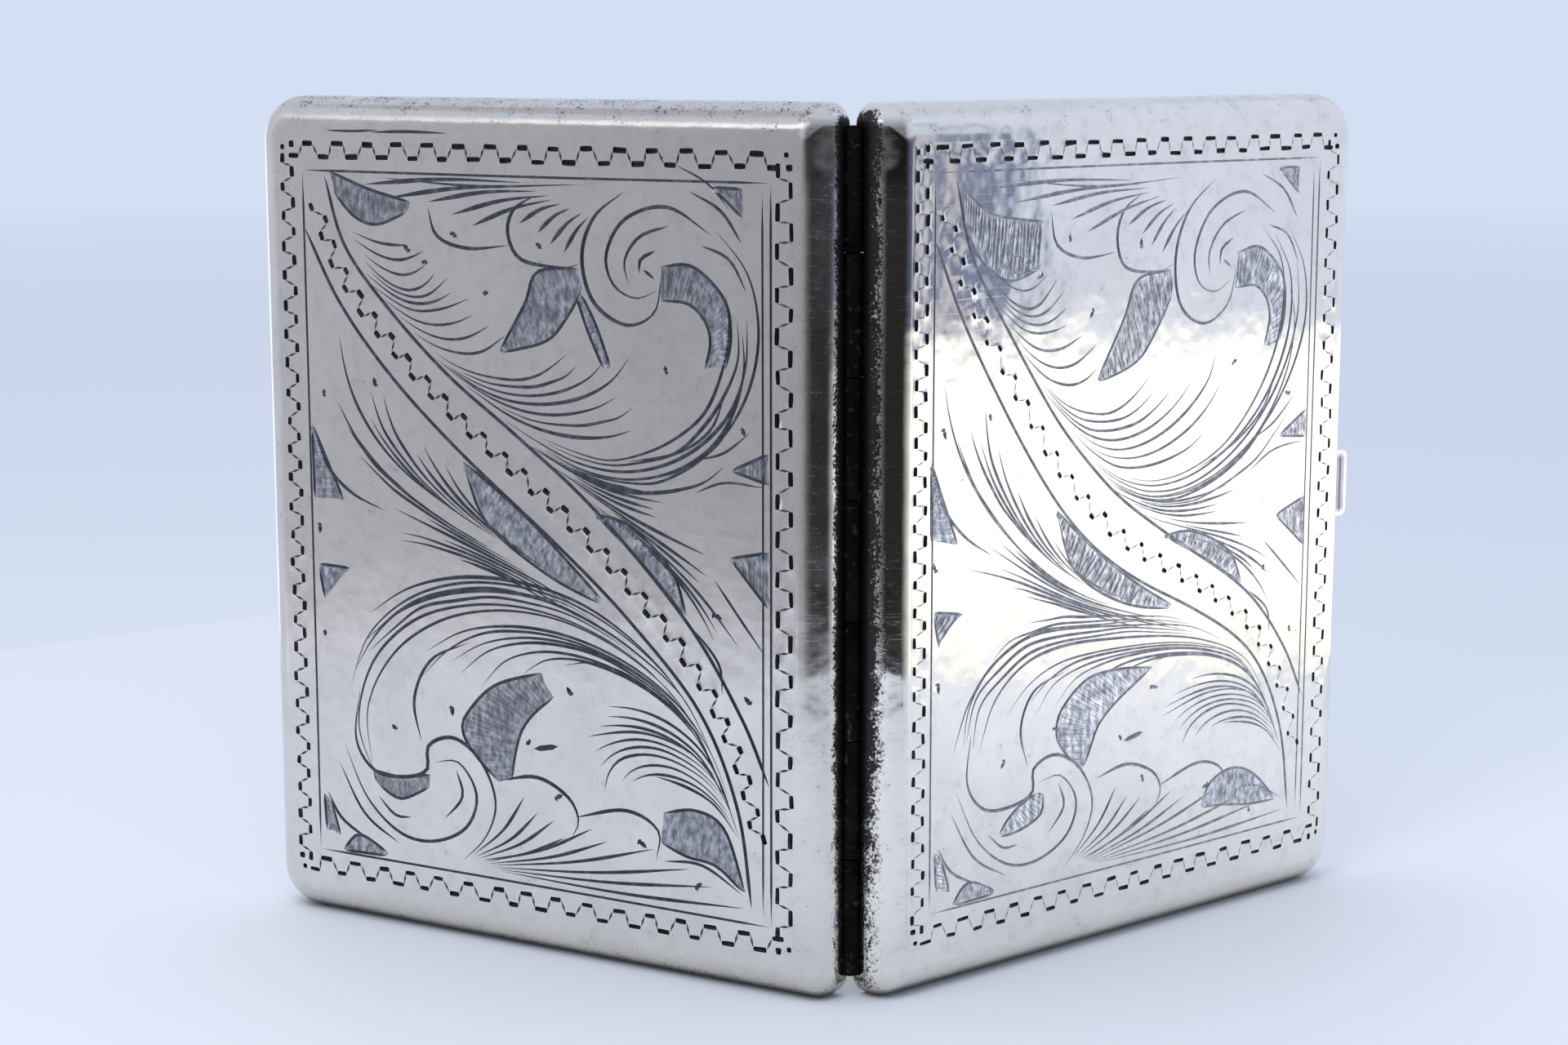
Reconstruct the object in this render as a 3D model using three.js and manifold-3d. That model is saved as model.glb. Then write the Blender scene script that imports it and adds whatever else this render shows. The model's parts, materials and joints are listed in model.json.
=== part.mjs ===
// Engraved silver card case: two shallow bullnosed trays on a five-part spine
// hinge, with a sprung thumb catch and a sprung retainer bow in each tray.
// Millimetres, +Z up. The case stands on its bottom edges, part open, with its
// rear leaf along the XZ plane and its outside facing -Y.
import * as THREE from "three";
import { mergeVertices } from "three/addons/utils/BufferGeometryUtils.js";
import Module from "manifold-3d";

const wasm = await Module();
wasm.setup();

// Each leaf is drawn in its own frame: u runs from the hinge axis to the free
// edge, w from the rim plane to the outer face, z up.
const LEAF_HEIGHT = 95;
const LEAF_WIDTH = 75;
const LEAF_DEPTH = 5;
const WALL = 0.7;
const CORNER_RADIUS = 5; // at the free edge
const SPINE_CORNER = 2.4; // and beside the hinge
const MITRE_RADIUS = 1.4; // least radius further in, where the bullnoses meet
const EDGE_RADIUS = 3.4;
const RIM_GAP = 0.05; // half the gap between the two rims when shut
const SPINE_START = 0.3; // u of the spine wall's outside
const OPEN_ANGLE = 110; // degrees between the two insides

const CORNER_STEPS = 8;
const EDGE_STEPS = 6;
const JOINT_GAP = 0.08; // left between soldered neighbours

// The reinforcing wire soldered inside three sides of each rim.
const RIM_INSET = 0.85;
const RIM_WIDTH = 1.05;
const RIM_DEPTH = 2.1;
const RIM_START = 5;

// The hinge.
const HINGE_BOTTOM = 2.5;
const HINGE_TOP = 92.5;
const KNUCKLE_COUNT = 7;
const KNUCKLE_RADIUS = 1.25;
const KNUCKLE_BORE = 0.7;
const KNUCKLE_GAP = 0.12;
const PIN_RADIUS = 0.62;
const PIN_OVERHANG = 0.15;
const GROOVE_RADIUS = 1.33;
const GROOVE_END_GAP = 0.25;
const BEARER_START = 1.2;
const BEARER_END = 3;
const BEARER_DEPTH = 2.3;

// The catch, half way up the free edge of the front leaf.
const CATCH_HEIGHT = 48.5; // just above the middle, as in the photo
const BUTTON_LENGTH = 8;
const BUTTON_PROUD = 2.1;
const BUTTON_CORNER = 0.9;
const BUTTON_LOW = 1.05;
const BUTTON_HIGH = 2.95;
const SLOT_CLEARANCE = 0.1;
const STRIP_THICKNESS = 0.4;
const STRIP_BOTTOM = 17;
const STRIP_TOP = 53;
const STRIP_LOW = 0.6;
const STRIP_HIGH = 3;
const RIVET_HEIGHTS = [20, 25];
const RIVET_RADIUS = 0.45;
const RIVET_HEAD_RADIUS = 0.85;
const RIVET_HEAD_THICKNESS = 0.4;
const RIVET_GRIP = 0.8;
const NOSE_LENGTH = 4;
const NOSE_REACH = 1.5; // past the rim plane
const NOSE_WIDTH = 0.85;
const NOSE_STEM = 0.5;
const NOSE_HOOK = 0.3; // of the tip, past the stem's outer side
const NOSE_BLUNT = 0.35; // cut off the tip's corner
const NOSE_BACK = 2.8; // depth of its soldered end
const KEEPER_LENGTH = 6;
const KEEPER_DEPTH = 0.65;
const KEEPER_LOW = 0.25;
const KEEPER_HIGH = 0.85;

// The retainer bow in each tray.
const PIVOT_U = 8;
const PIVOT_W = 2.95;
const ROD_RADIUS = 0.55;
const ROD_BOTTOM = 13.5;
const EYE_RADIUS = 1.15;
const EYE_BORE = 0.63;
const BOW_THICKNESS = 0.5;
const BOW_BAR = 2.2;
const BOW_BOTTOM = 15.3;
const BOW_REACH = 62;
const TAB_LENGTH = 7;
const TAB_REACH = 2;
const TAB_SLOPE = 1; // along the bow, half each side of the tab's length
const BOW_CORNER = BOW_BAR * 1.4;
const LUG_BOTTOM = 13.9;
const LUG_THICKNESS = 1.2;
const LUG_BORE = 0.62;
const COIL_RADIUS = 0.95;
const COIL_WIRE = 0.2;
const COIL_TURNS = 5;
const COIL_STEPS = 10;
const COIL_BOTTOM = 18.25;
const COIL_TOP = 21.2;
const LONG_LEG = 9; // from the rod to the end of the leg on the bow's arm
const SHORT_LEG = 2; // and of the leg on the tray's floor
const PATH_STEPS = 6; // more sections than path points, for the bends

const metal = (color, roughness) => new THREE.MeshStandardMaterial({ color, roughness, metalness: 1 });
const SILVER = 0xc9ccd1;
const TARNISHED = 0x77726a;
const GILT = 0xcbb079;
const STEEL = 0x9a9da2;

// ---- solids ---------------------------------------------------------------

// A closed mesh as a manifold solid, whichever way its faces were wound.
function toSolid(geometry) {
  const bare = geometry.clone();
  bare.deleteAttribute("normal");
  bare.deleteAttribute("uv");
  const merged = mergeVertices(bare, 1e-5);
  const points = merged.getAttribute("position");
  const faces = Uint32Array.from(merged.index.array);
  if (signedVolume(points, faces) < 0) {
    for (let face = 0; face < faces.length; face += 3) {
      [faces[face], faces[face + 1]] = [faces[face + 1], faces[face]];
    }
  }
  const vertices = new Float32Array(points.array);
  return new wasm.Manifold(new wasm.Mesh({ numProp: 3, vertProperties: vertices, triVerts: faces }));
}

function signedVolume(points, faces) {
  const corner = [new THREE.Vector3(), new THREE.Vector3(), new THREE.Vector3()];
  let total = 0;
  for (let face = 0; face < faces.length; face += 3) {
    corner.forEach((point, k) => point.fromBufferAttribute(points, faces[face + k]));
    total += corner[0].dot(corner[1].clone().cross(corner[2])) / 6;
  }
  return total;
}

function toGeometry(solid) {
  const mesh = solid.getMesh();
  const geometry = new THREE.BufferGeometry();
  geometry.setAttribute("position", new THREE.BufferAttribute(new Float32Array(mesh.vertProperties), 3));
  geometry.setIndex(new THREE.BufferAttribute(new Uint32Array(mesh.triVerts), 1));
  geometry.computeVertexNormals();
  return geometry;
}

// A skin through equal rings of points, with the first and last ring filled.
function loft(rings) {
  const count = rings[0].length;
  const positions = rings.flat().flatMap((point) => point.toArray());
  const faces = [];
  for (let ring = 0; ring + 1 < rings.length; ring++) {
    for (let k = 0; k < count; k++) {
      const next = (k + 1) % count;
      const [a, b] = [ring * count + k, ring * count + next];
      faces.push(a, b, b + count, a, b + count, a + count);
    }
  }
  const last = (rings.length - 1) * count;
  for (let k = 1; k + 1 < count; k++) {
    faces.push(0, k + 1, k);
    faces.push(last, last + k, last + k + 1);
  }
  const geometry = new THREE.BufferGeometry();
  geometry.setAttribute("position", new THREE.Float32BufferAttribute(positions, 3));
  geometry.setIndex(faces);
  return geometry;
}

// A (u, w) outline extruded up z.
function uprightBar(shape, bottom, top, curveSegments = 12) {
  const geometry = new THREE.ExtrudeGeometry(shape, { depth: top - bottom, bevelEnabled: false, curveSegments });
  return geometry.translate(0, 0, bottom);
}

// A (u, z) outline extruded along w.
function flatPlate(shape, low, high, curveSegments = 8) {
  const geometry = new THREE.ExtrudeGeometry(shape, { depth: high - low, bevelEnabled: false, curveSegments });
  return geometry.rotateX(Math.PI / 2).translate(0, high, 0);
}

function box(u0, u1, w0, w1, z0, z1) {
  const geometry = new THREE.BoxGeometry(u1 - u0, w1 - w0, z1 - z0);
  return geometry.translate((u0 + u1) / 2, (w0 + w1) / 2, (z0 + z1) / 2);
}

function rod(u, w, radius, bottom, top, sides = 24) {
  const geometry = new THREE.CylinderGeometry(radius, radius, top - bottom, sides);
  return geometry.rotateX(Math.PI / 2).translate(u, w, (bottom + top) / 2);
}

function rodAlongU(w, z, radius, start, end, sides = 20) {
  const geometry = new THREE.CylinderGeometry(radius, radius, end - start, sides);
  return geometry.rotateZ(Math.PI / 2).translate((start + end) / 2, w, z);
}

function polygon(points) {
  return new THREE.Shape(points.map(([x, y]) => new THREE.Vector2(x, y)));
}

// A rectangle with rounded corners, as a ring of points at one depth.
function leafRing(inset, w) {
  const wide = CORNER_RADIUS - inset;
  const tight = Math.max(SPINE_CORNER - inset, MITRE_RADIUS);
  const left = SPINE_START + inset + tight;
  const right = LEAF_WIDTH - inset - wide;
  const centres = [
    [right, LEAF_HEIGHT - inset - wide, wide],
    [left, LEAF_HEIGHT - inset - tight, tight],
    [left, inset + tight, tight],
    [right, inset + wide, wide],
  ];
  const ring = [];
  centres.forEach(([u, z, radius], corner) => {
    for (let step = 0; step <= CORNER_STEPS; step++) {
      const angle = (corner + step / CORNER_STEPS) * (Math.PI / 2);
      ring.push(new THREE.Vector3(u + radius * Math.cos(angle), w, z + radius * Math.sin(angle)));
    }
  });
  return ring;
}

// The rings of one face of the shell, from the rim up over the bullnose.
function bullnoseRings(offset) {
  const rings = [leafRing(offset, RIM_GAP)];
  const centre = LEAF_DEPTH - EDGE_RADIUS;
  const radius = EDGE_RADIUS - offset;
  for (let step = 0; step <= EDGE_STEPS; step++) {
    const angle = (step / EDGE_STEPS) * (Math.PI / 2);
    rings.push(leafRing(EDGE_RADIUS - radius * Math.cos(angle), centre + radius * Math.sin(angle)));
  }
  return rings;
}

// ---- pieces of one leaf ---------------------------------------------------

const STRIP_OUTSIDE = LEAF_WIDTH - RIM_INSET - RIM_WIDTH - JOINT_GAP;
const STRIP_INSIDE = STRIP_OUTSIDE - STRIP_THICKNESS;
const FLOOR = LEAF_DEPTH - WALL;

function hingeGroove() {
  return toSolid(rod(0, 0, GROOVE_RADIUS, HINGE_BOTTOM - GROOVE_END_GAP, HINGE_TOP + GROOVE_END_GAP, 48));
}

function catchSlot() {
  const half = BUTTON_LENGTH / 2 + SLOT_CLEARANCE;
  const low = BUTTON_LOW - SLOT_CLEARANCE;
  const high = BUTTON_HIGH + SLOT_CLEARANCE;
  return toSolid(box(STRIP_OUTSIDE, LEAF_WIDTH + 1, low, high, CATCH_HEIGHT - half, CATCH_HEIGHT + half));
}

function shell(hasCatch) {
  const outside = bullnoseRings(0).reverse();
  const inside = bullnoseRings(WALL);
  const body = toSolid(loft([...outside, ...inside])).subtract(hingeGroove());
  return hasCatch ? body.subtract(catchSlot()) : body;
}

// A U of square wire round the top, free edge and bottom of the rim.
function rimWire(hasCatch) {
  const track = (inset) => {
    const radius = CORNER_RADIUS - inset;
    const right = LEAF_WIDTH - CORNER_RADIUS;
    const points = [[RIM_START, inset]];
    for (let corner = -1; corner <= 0; corner++) {
      const z = corner < 0 ? CORNER_RADIUS : LEAF_HEIGHT - CORNER_RADIUS;
      for (let step = 0; step <= CORNER_STEPS; step++) {
        const angle = (corner + step / CORNER_STEPS) * (Math.PI / 2);
        points.push([right + radius * Math.cos(angle), z + radius * Math.sin(angle)]);
      }
    }
    points.push([RIM_START, LEAF_HEIGHT - inset]);
    return points;
  };
  const outline = [...track(RIM_INSET), ...track(RIM_INSET + RIM_WIDTH).reverse()];
  let wire = toSolid(flatPlate(polygon(outline), RIM_GAP, RIM_DEPTH));
  if (hasCatch) {
    wire = wire.subtract(catchSlot());
    for (const z of RIVET_HEIGHTS) {
      wire = wire.subtract(rivetHole(z));
    }
  }
  return wire;
}

function hingeBearer() {
  const blank = box(BEARER_START, BEARER_END, RIM_GAP, BEARER_DEPTH, HINGE_BOTTOM, HINGE_TOP);
  return toSolid(blank).subtract(hingeGroove());
}

function knuckle(index) {
  const pitch = (HINGE_TOP - HINGE_BOTTOM + KNUCKLE_GAP) / KNUCKLE_COUNT;
  const bottom = HINGE_BOTTOM + index * pitch;
  const top = bottom + pitch - KNUCKLE_GAP;
  const bore = toSolid(rod(0, 0, KNUCKLE_BORE, bottom - 1, top + 1));
  return toSolid(rod(0, 0, KNUCKLE_RADIUS, bottom, top)).subtract(bore);
}

const hingePin = () => toSolid(rod(0, 0, PIN_RADIUS, HINGE_BOTTOM - PIN_OVERHANG, HINGE_TOP + PIN_OVERHANG));

// ---- pieces of the retainer -----------------------------------------------

const BOW_TOP = LEAF_HEIGHT - BOW_BOTTOM;
const BOW_HIGH = PIVOT_W + EYE_RADIUS;
const BOW_LOW = BOW_HIGH - BOW_THICKNESS;

// A flat U with rounded corners and a finger tab, rolled round the rod at its ends.
function retainerBow() {
  const middle = LEAF_HEIGHT / 2;
  const outline = new THREE.Shape();
  outline.moveTo(PIVOT_U, BOW_BOTTOM);
  outline.lineTo(BOW_REACH - BOW_CORNER, BOW_BOTTOM);
  outline.absarc(BOW_REACH - BOW_CORNER, BOW_BOTTOM + BOW_CORNER, BOW_CORNER, -Math.PI / 2, 0);
  outline.lineTo(BOW_REACH, middle - TAB_LENGTH / 2 - TAB_SLOPE);
  outline.lineTo(BOW_REACH + TAB_REACH, middle - TAB_LENGTH / 2 + TAB_SLOPE);
  outline.lineTo(BOW_REACH + TAB_REACH, middle + TAB_LENGTH / 2 - TAB_SLOPE);
  outline.lineTo(BOW_REACH, middle + TAB_LENGTH / 2 + TAB_SLOPE);
  outline.absarc(BOW_REACH - BOW_CORNER, BOW_TOP - BOW_CORNER, BOW_CORNER, 0, Math.PI / 2);
  outline.lineTo(PIVOT_U, BOW_TOP);
  outline.lineTo(PIVOT_U, BOW_TOP - BOW_BAR);
  outline.lineTo(BOW_REACH - BOW_BAR, BOW_TOP - BOW_BAR);
  outline.lineTo(BOW_REACH - BOW_BAR, BOW_BOTTOM + BOW_BAR);
  outline.lineTo(PIVOT_U, BOW_BOTTOM + BOW_BAR);
  let bow = toSolid(flatPlate(outline, BOW_LOW, BOW_HIGH));
  for (const bottom of [BOW_BOTTOM, BOW_TOP - BOW_BAR]) {
    bow = bow.add(toSolid(rod(PIVOT_U, PIVOT_W, EYE_RADIUS, bottom, bottom + BOW_BAR)));
  }
  return bow.subtract(toSolid(rod(PIVOT_U, PIVOT_W, EYE_BORE, BOW_BOTTOM - 1, BOW_TOP + 1)));
}

function retainerLug(bottom) {
  const foot = FLOOR - JOINT_GAP;
  const shape = new THREE.Shape();
  shape.moveTo(PIVOT_U - EYE_RADIUS, foot);
  shape.lineTo(PIVOT_U - EYE_RADIUS, PIVOT_W);
  shape.absarc(PIVOT_U, PIVOT_W, EYE_RADIUS, Math.PI, 2 * Math.PI);
  shape.lineTo(PIVOT_U + EYE_RADIUS, foot);
  const blank = toSolid(uprightBar(shape, bottom, bottom + LUG_THICKNESS));
  return blank.subtract(toSolid(rod(PIVOT_U, PIVOT_W, LUG_BORE, bottom - 1, bottom + LUG_THICKNESS + 1)));
}

const retainerRod = () => toSolid(rod(PIVOT_U, PIVOT_W, ROD_RADIUS, ROD_BOTTOM, LEAF_HEIGHT - ROD_BOTTOM));

// A torsion spring round the rod: a long leg on the bow's arm, a coil, and a
// short leg on the tray's floor. The upper spring is its mirror image.
function retainerSpring(isUpper) {
  const armTop = BOW_LOW - COIL_WIRE - JOINT_GAP;
  const armMiddle = BOW_BOTTOM + BOW_BAR / 2;
  const coilLow = PIVOT_W - COIL_RADIUS;
  const path = [
    new THREE.Vector3(PIVOT_U + LONG_LEG, armTop, armMiddle),
    new THREE.Vector3(PIVOT_U + LONG_LEG - 3, armTop, armMiddle),
    new THREE.Vector3(PIVOT_U + 4, (armTop + coilLow) / 2 + 0.2, armMiddle + 0.8),
    new THREE.Vector3(PIVOT_U + 2, coilLow + 0.3, COIL_BOTTOM - 0.1),
  ];
  const steps = (COIL_TURNS + 0.5) * COIL_STEPS;
  for (let step = 0; step <= steps; step++) {
    const angle = -Math.PI / 2 - (step / COIL_STEPS) * 2 * Math.PI;
    const z = COIL_BOTTOM + (step / steps) * (COIL_TOP - COIL_BOTTOM);
    path.push(new THREE.Vector3(
      PIVOT_U + COIL_RADIUS * Math.cos(angle),
      PIVOT_W + COIL_RADIUS * Math.sin(angle),
      z,
    ));
  }
  path.push(new THREE.Vector3(PIVOT_U + SHORT_LEG, PIVOT_W + COIL_RADIUS, COIL_TOP));
  const section = new THREE.Shape().absarc(0, 0, COIL_WIRE, 0, 2 * Math.PI);
  const wire = new THREE.ExtrudeGeometry(section, {
    steps: path.length + PATH_STEPS,
    extrudePath: new THREE.CatmullRomCurve3(path),
    curveSegments: 3,
  });
  if (isUpper) {
    wire.scale(1, 1, -1).translate(0, 0, LEAF_HEIGHT);
  }
  return toSolid(wire);
}

// ---- pieces of the catch --------------------------------------------------

const rivetHole = (z) => {
  const middle = (STRIP_LOW + RIM_DEPTH) / 2;
  const start = STRIP_INSIDE - 1;
  return toSolid(rodAlongU(middle, z, RIVET_RADIUS + JOINT_GAP, start, STRIP_OUTSIDE + RIVET_GRIP + JOINT_GAP));
};

function springRivet(z) {
  const middle = (STRIP_LOW + RIM_DEPTH) / 2;
  const headEnd = STRIP_INSIDE - JOINT_GAP;
  const head = rodAlongU(middle, z, RIVET_HEAD_RADIUS, headEnd - RIVET_HEAD_THICKNESS, headEnd);
  const shank = rodAlongU(middle, z, RIVET_RADIUS, headEnd - 0.1, STRIP_OUTSIDE + RIVET_GRIP);
  return toSolid(head).add(toSolid(shank));
}

function springStrip() {
  let strip = toSolid(box(STRIP_INSIDE, STRIP_OUTSIDE, STRIP_LOW, STRIP_HIGH, STRIP_BOTTOM, STRIP_TOP));
  for (const z of RIVET_HEIGHTS) {
    strip = strip.subtract(rivetHole(z));
  }
  return strip;
}

// The thumb piece: a flat tab with rounded outer corners.
function thumbButton() {
  const inner = STRIP_OUTSIDE + JOINT_GAP;
  const outer = LEAF_WIDTH + BUTTON_PROUD;
  const [low, high] = [CATCH_HEIGHT - BUTTON_LENGTH / 2, CATCH_HEIGHT + BUTTON_LENGTH / 2];
  const shape = new THREE.Shape();
  shape.moveTo(inner, low);
  shape.lineTo(outer - BUTTON_CORNER, low);
  shape.absarc(outer - BUTTON_CORNER, low + BUTTON_CORNER, BUTTON_CORNER, -Math.PI / 2, 0);
  shape.lineTo(outer, high - BUTTON_CORNER);
  shape.absarc(outer - BUTTON_CORNER, high - BUTTON_CORNER, BUTTON_CORNER, 0, Math.PI / 2);
  shape.lineTo(inner, high);
  return toSolid(flatPlate(shape, BUTTON_LOW, BUTTON_HIGH));
}

// A hook that reaches past the rim plane, with its tip turned outwards.
function catchNose() {
  const outer = STRIP_INSIDE - JOINT_GAP;
  const inner = outer - NOSE_WIDTH;
  const stem = inner + NOSE_STEM;
  const tip = outer + NOSE_HOOK;
  const hookTop = NOSE_STEM - NOSE_REACH;
  const shape = polygon([
    [inner, NOSE_BACK],
    [inner, -NOSE_REACH],
    [tip - NOSE_BLUNT, -NOSE_REACH],
    [tip, hookTop - 0.1],
    [tip, hookTop],
    [stem, hookTop],
    [stem, 0.3],
    [outer, 0.3],
    [outer, NOSE_BACK],
  ]);
  return toSolid(uprightBar(shape, CATCH_HEIGHT - NOSE_LENGTH / 2, CATCH_HEIGHT + NOSE_LENGTH / 2));
}

// A small ledge inside the rear leaf's rim that the hook holds under.
function catchKeeper() {
  const outer = STRIP_OUTSIDE;
  const half = KEEPER_LENGTH / 2;
  return toSolid(box(outer - KEEPER_DEPTH, outer, KEEPER_LOW, KEEPER_HIGH, CATCH_HEIGHT - half, CATCH_HEIGHT + half));
}

// ---- assembly -------------------------------------------------------------

// mirror turns a leaf drawn for the rear into one of the other hand.
function addPiece(leaf, name, solid, color, roughness) {
  const mirrored = leaf.userData.mirrored ? solid.scale([1, -1, 1]) : solid;
  const mesh = new THREE.Mesh(toGeometry(mirrored), metal(color, roughness));
  mesh.name = name;
  leaf.add(mesh);
}

function addLeaf(group, name, isFront) {
  const leaf = new THREE.Group();
  leaf.userData.mirrored = isFront;
  leaf.rotation.z = THREE.MathUtils.degToRad(isFront ? 180 - OPEN_ANGLE : 180);
  addPiece(leaf, `${name}_shell`, shell(isFront), SILVER, 0.22);
  addPiece(leaf, `${name}_rim_wire`, rimWire(isFront), SILVER, 0.25);
  addPiece(leaf, `${name}_hinge_bearer`, hingeBearer(), TARNISHED, 0.4);
  for (let index = isFront ? 1 : 0; index < KNUCKLE_COUNT; index += 2) {
    addPiece(leaf, `${name}_knuckle_${(index >> 1) + 1}`, knuckle(index), TARNISHED, 0.4);
  }
  addPiece(leaf, `${name}_retainer_lug_lower`, retainerLug(LUG_BOTTOM), GILT, 0.3);
  addPiece(leaf, `${name}_retainer_lug_upper`, retainerLug(LEAF_HEIGHT - LUG_BOTTOM - LUG_THICKNESS), GILT, 0.3);
  addPiece(leaf, `${name}_retainer_rod`, retainerRod(), STEEL, 0.3);
  addPiece(leaf, `${name}_retainer_bow`, retainerBow(), GILT, 0.28);
  addPiece(leaf, `${name}_retainer_spring_lower`, retainerSpring(false), STEEL, 0.35);
  addPiece(leaf, `${name}_retainer_spring_upper`, retainerSpring(true), STEEL, 0.35);
  group.add(leaf);
  return leaf;
}

const cardCase = new THREE.Group();
const rear = addLeaf(cardCase, "rear", false);
const front = addLeaf(cardCase, "front", true);

addPiece(rear, "hinge_pin", hingePin(), STEEL, 0.35);
addPiece(rear, "catch_keeper", catchKeeper(), SILVER, 0.3);

addPiece(front, "catch_spring", springStrip(), STEEL, 0.3);
RIVET_HEIGHTS.forEach((z, index) => addPiece(front, `spring_rivet_${index + 1}`, springRivet(z), SILVER, 0.3));
addPiece(front, "thumb_button", thumbButton(), SILVER, 0.22);
addPiece(front, "catch_nose", catchNose(), STEEL, 0.3);

// The origin is the middle of the whole case's footprint, at its base.
const extent = new THREE.Box3().setFromObject(cardCase, true);
const centre = extent.getCenter(new THREE.Vector3());
cardCase.position.set(-centre.x, -centre.y, -extent.min.z);

export default cardCase;
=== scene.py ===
"""An engraved silver card case, standing part open on a pale floor."""

import json
import math
import random

import bmesh
import bpy
import numpy as np
from mathutils import Matrix, Vector
from mathutils.geometry import delaunay_2d_cdt


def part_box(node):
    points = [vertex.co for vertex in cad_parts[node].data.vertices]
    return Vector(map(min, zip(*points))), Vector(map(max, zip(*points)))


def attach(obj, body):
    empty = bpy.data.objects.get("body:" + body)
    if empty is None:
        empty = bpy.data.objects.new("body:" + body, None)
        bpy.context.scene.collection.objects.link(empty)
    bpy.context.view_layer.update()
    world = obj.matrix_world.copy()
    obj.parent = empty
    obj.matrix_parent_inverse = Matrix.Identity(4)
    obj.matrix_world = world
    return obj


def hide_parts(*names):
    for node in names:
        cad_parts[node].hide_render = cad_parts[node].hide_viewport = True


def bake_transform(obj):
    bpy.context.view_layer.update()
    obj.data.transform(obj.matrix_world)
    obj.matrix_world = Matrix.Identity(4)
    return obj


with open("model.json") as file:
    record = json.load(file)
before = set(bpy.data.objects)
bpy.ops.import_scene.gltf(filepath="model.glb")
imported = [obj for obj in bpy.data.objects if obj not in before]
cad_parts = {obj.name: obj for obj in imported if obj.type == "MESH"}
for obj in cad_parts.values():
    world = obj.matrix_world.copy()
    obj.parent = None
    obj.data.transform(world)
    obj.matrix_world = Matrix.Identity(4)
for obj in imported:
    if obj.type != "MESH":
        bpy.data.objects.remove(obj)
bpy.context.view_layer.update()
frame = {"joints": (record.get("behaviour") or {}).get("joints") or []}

MM = 0.001

# ---- the frame: where the two leaves are ----------------------------------

JOINTS = {joint["name"]: joint for joint in frame["joints"]}
HINGE = Vector(JOINTS["leaf_hinge"]["pos_m"]).to_2d() / MM
SHUT_TURN = -JOINTS["leaf_hinge"]["range_deg"][0]

# One leaf in its own millimetres: u from the hinge axis to the free edge, w
# from the rim plane out to the engraved face, z up.
HEIGHT = 95.0
WIDTH = 75.0
DEPTH = 5.0
WALL = 0.7
CORNER_RADIUS = 5.0
SPINE_CORNER = 2.4
MITRE_RADIUS = 1.4
EDGE_RADIUS = 3.4
SPINE_START = 0.3
RIM_GAP = 0.05


class Leaf:
    """Turns leaf millimetres into metres in the shared frame."""

    def __init__(self, name, turn, hand):
        self.name = name
        self.body = f"{name}_leaf"
        angle = math.radians(turn)
        self.along = Vector((math.cos(angle), math.sin(angle), 0))
        self.outward = Vector((-math.sin(angle), math.cos(angle), 0)) * hand

    def matrix(self):
        """u, w, z as the columns of a matrix; its scale is millimetres to metres."""
        hinge = Vector((HINGE.x, HINGE.y, 0))
        columns = Matrix((self.along, self.outward, Vector((0, 0, 1)))).transposed()
        return Matrix.Scale(MM, 4) @ Matrix.Translation(hinge) @ columns.to_4x4()


REAR = Leaf("rear", 180, 1)
FRONT = Leaf("front", 180 - SHUT_TURN, -1)
LEAVES = (REAR, FRONT)

# ---- engraving: strokes in millimetres ------------------------------------


def curve_through(points, steps):
    """A Catmull-Rom curve through the points, with so many steps from each to the next."""
    knots = np.array(points, float)
    knots = np.vstack([2 * knots[0] - knots[1], knots, 2 * knots[-1] - knots[-2]])
    line = []
    for a, b, c, d in zip(knots, knots[1:], knots[2:], knots[3:]):
        for t in np.linspace(0, 1, steps, endpoint=False):
            line.append(0.5 * (2 * b + (c - a) * t + (2 * a - 5 * b + 4 * c - d) * t * t
                               + (3 * b - a - 3 * c + d) * t ** 3))
    line.append(knots[-2])
    return np.array(line)


def smooth(points, spacing=0.9):
    """A curve through the points, resampled about every spacing mm."""
    line = curve_through(points, 12) if len(points) > 2 else np.array(points, float)
    gaps = np.linalg.norm(np.diff(line, axis=0), axis=1)
    run = np.concatenate([[0], np.cumsum(gaps)])
    count = max(2, int(math.ceil(run[-1] / spacing)))
    wanted = np.linspace(0, run[-1], count + 1)
    return np.column_stack([np.interp(wanted, run, line[:, k]) for k in (0, 1)])


def resampled(line, shares):
    """The points of a line at those shares of the way along its own points."""
    own = np.linspace(0, 1, len(line))
    return np.column_stack([np.interp(shares, own, line[:, k]) for k in (0, 1)])


def between(guide_a, guide_b, share):
    """The curve part of the way from one guide to another."""
    a, b = (resampled(smooth(guide, 0.5), np.linspace(0, 1, 9)) for guide in (guide_a, guide_b))
    return a * (1 - share) + b * share


# What fills a cut: dark tarnish, the grey of a shaded patch, or black. The last is no cut.
DARK_CUT, SHADE_CUT, DEEP_CUT, INSIDE = 1, 2, 3, 4


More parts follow.
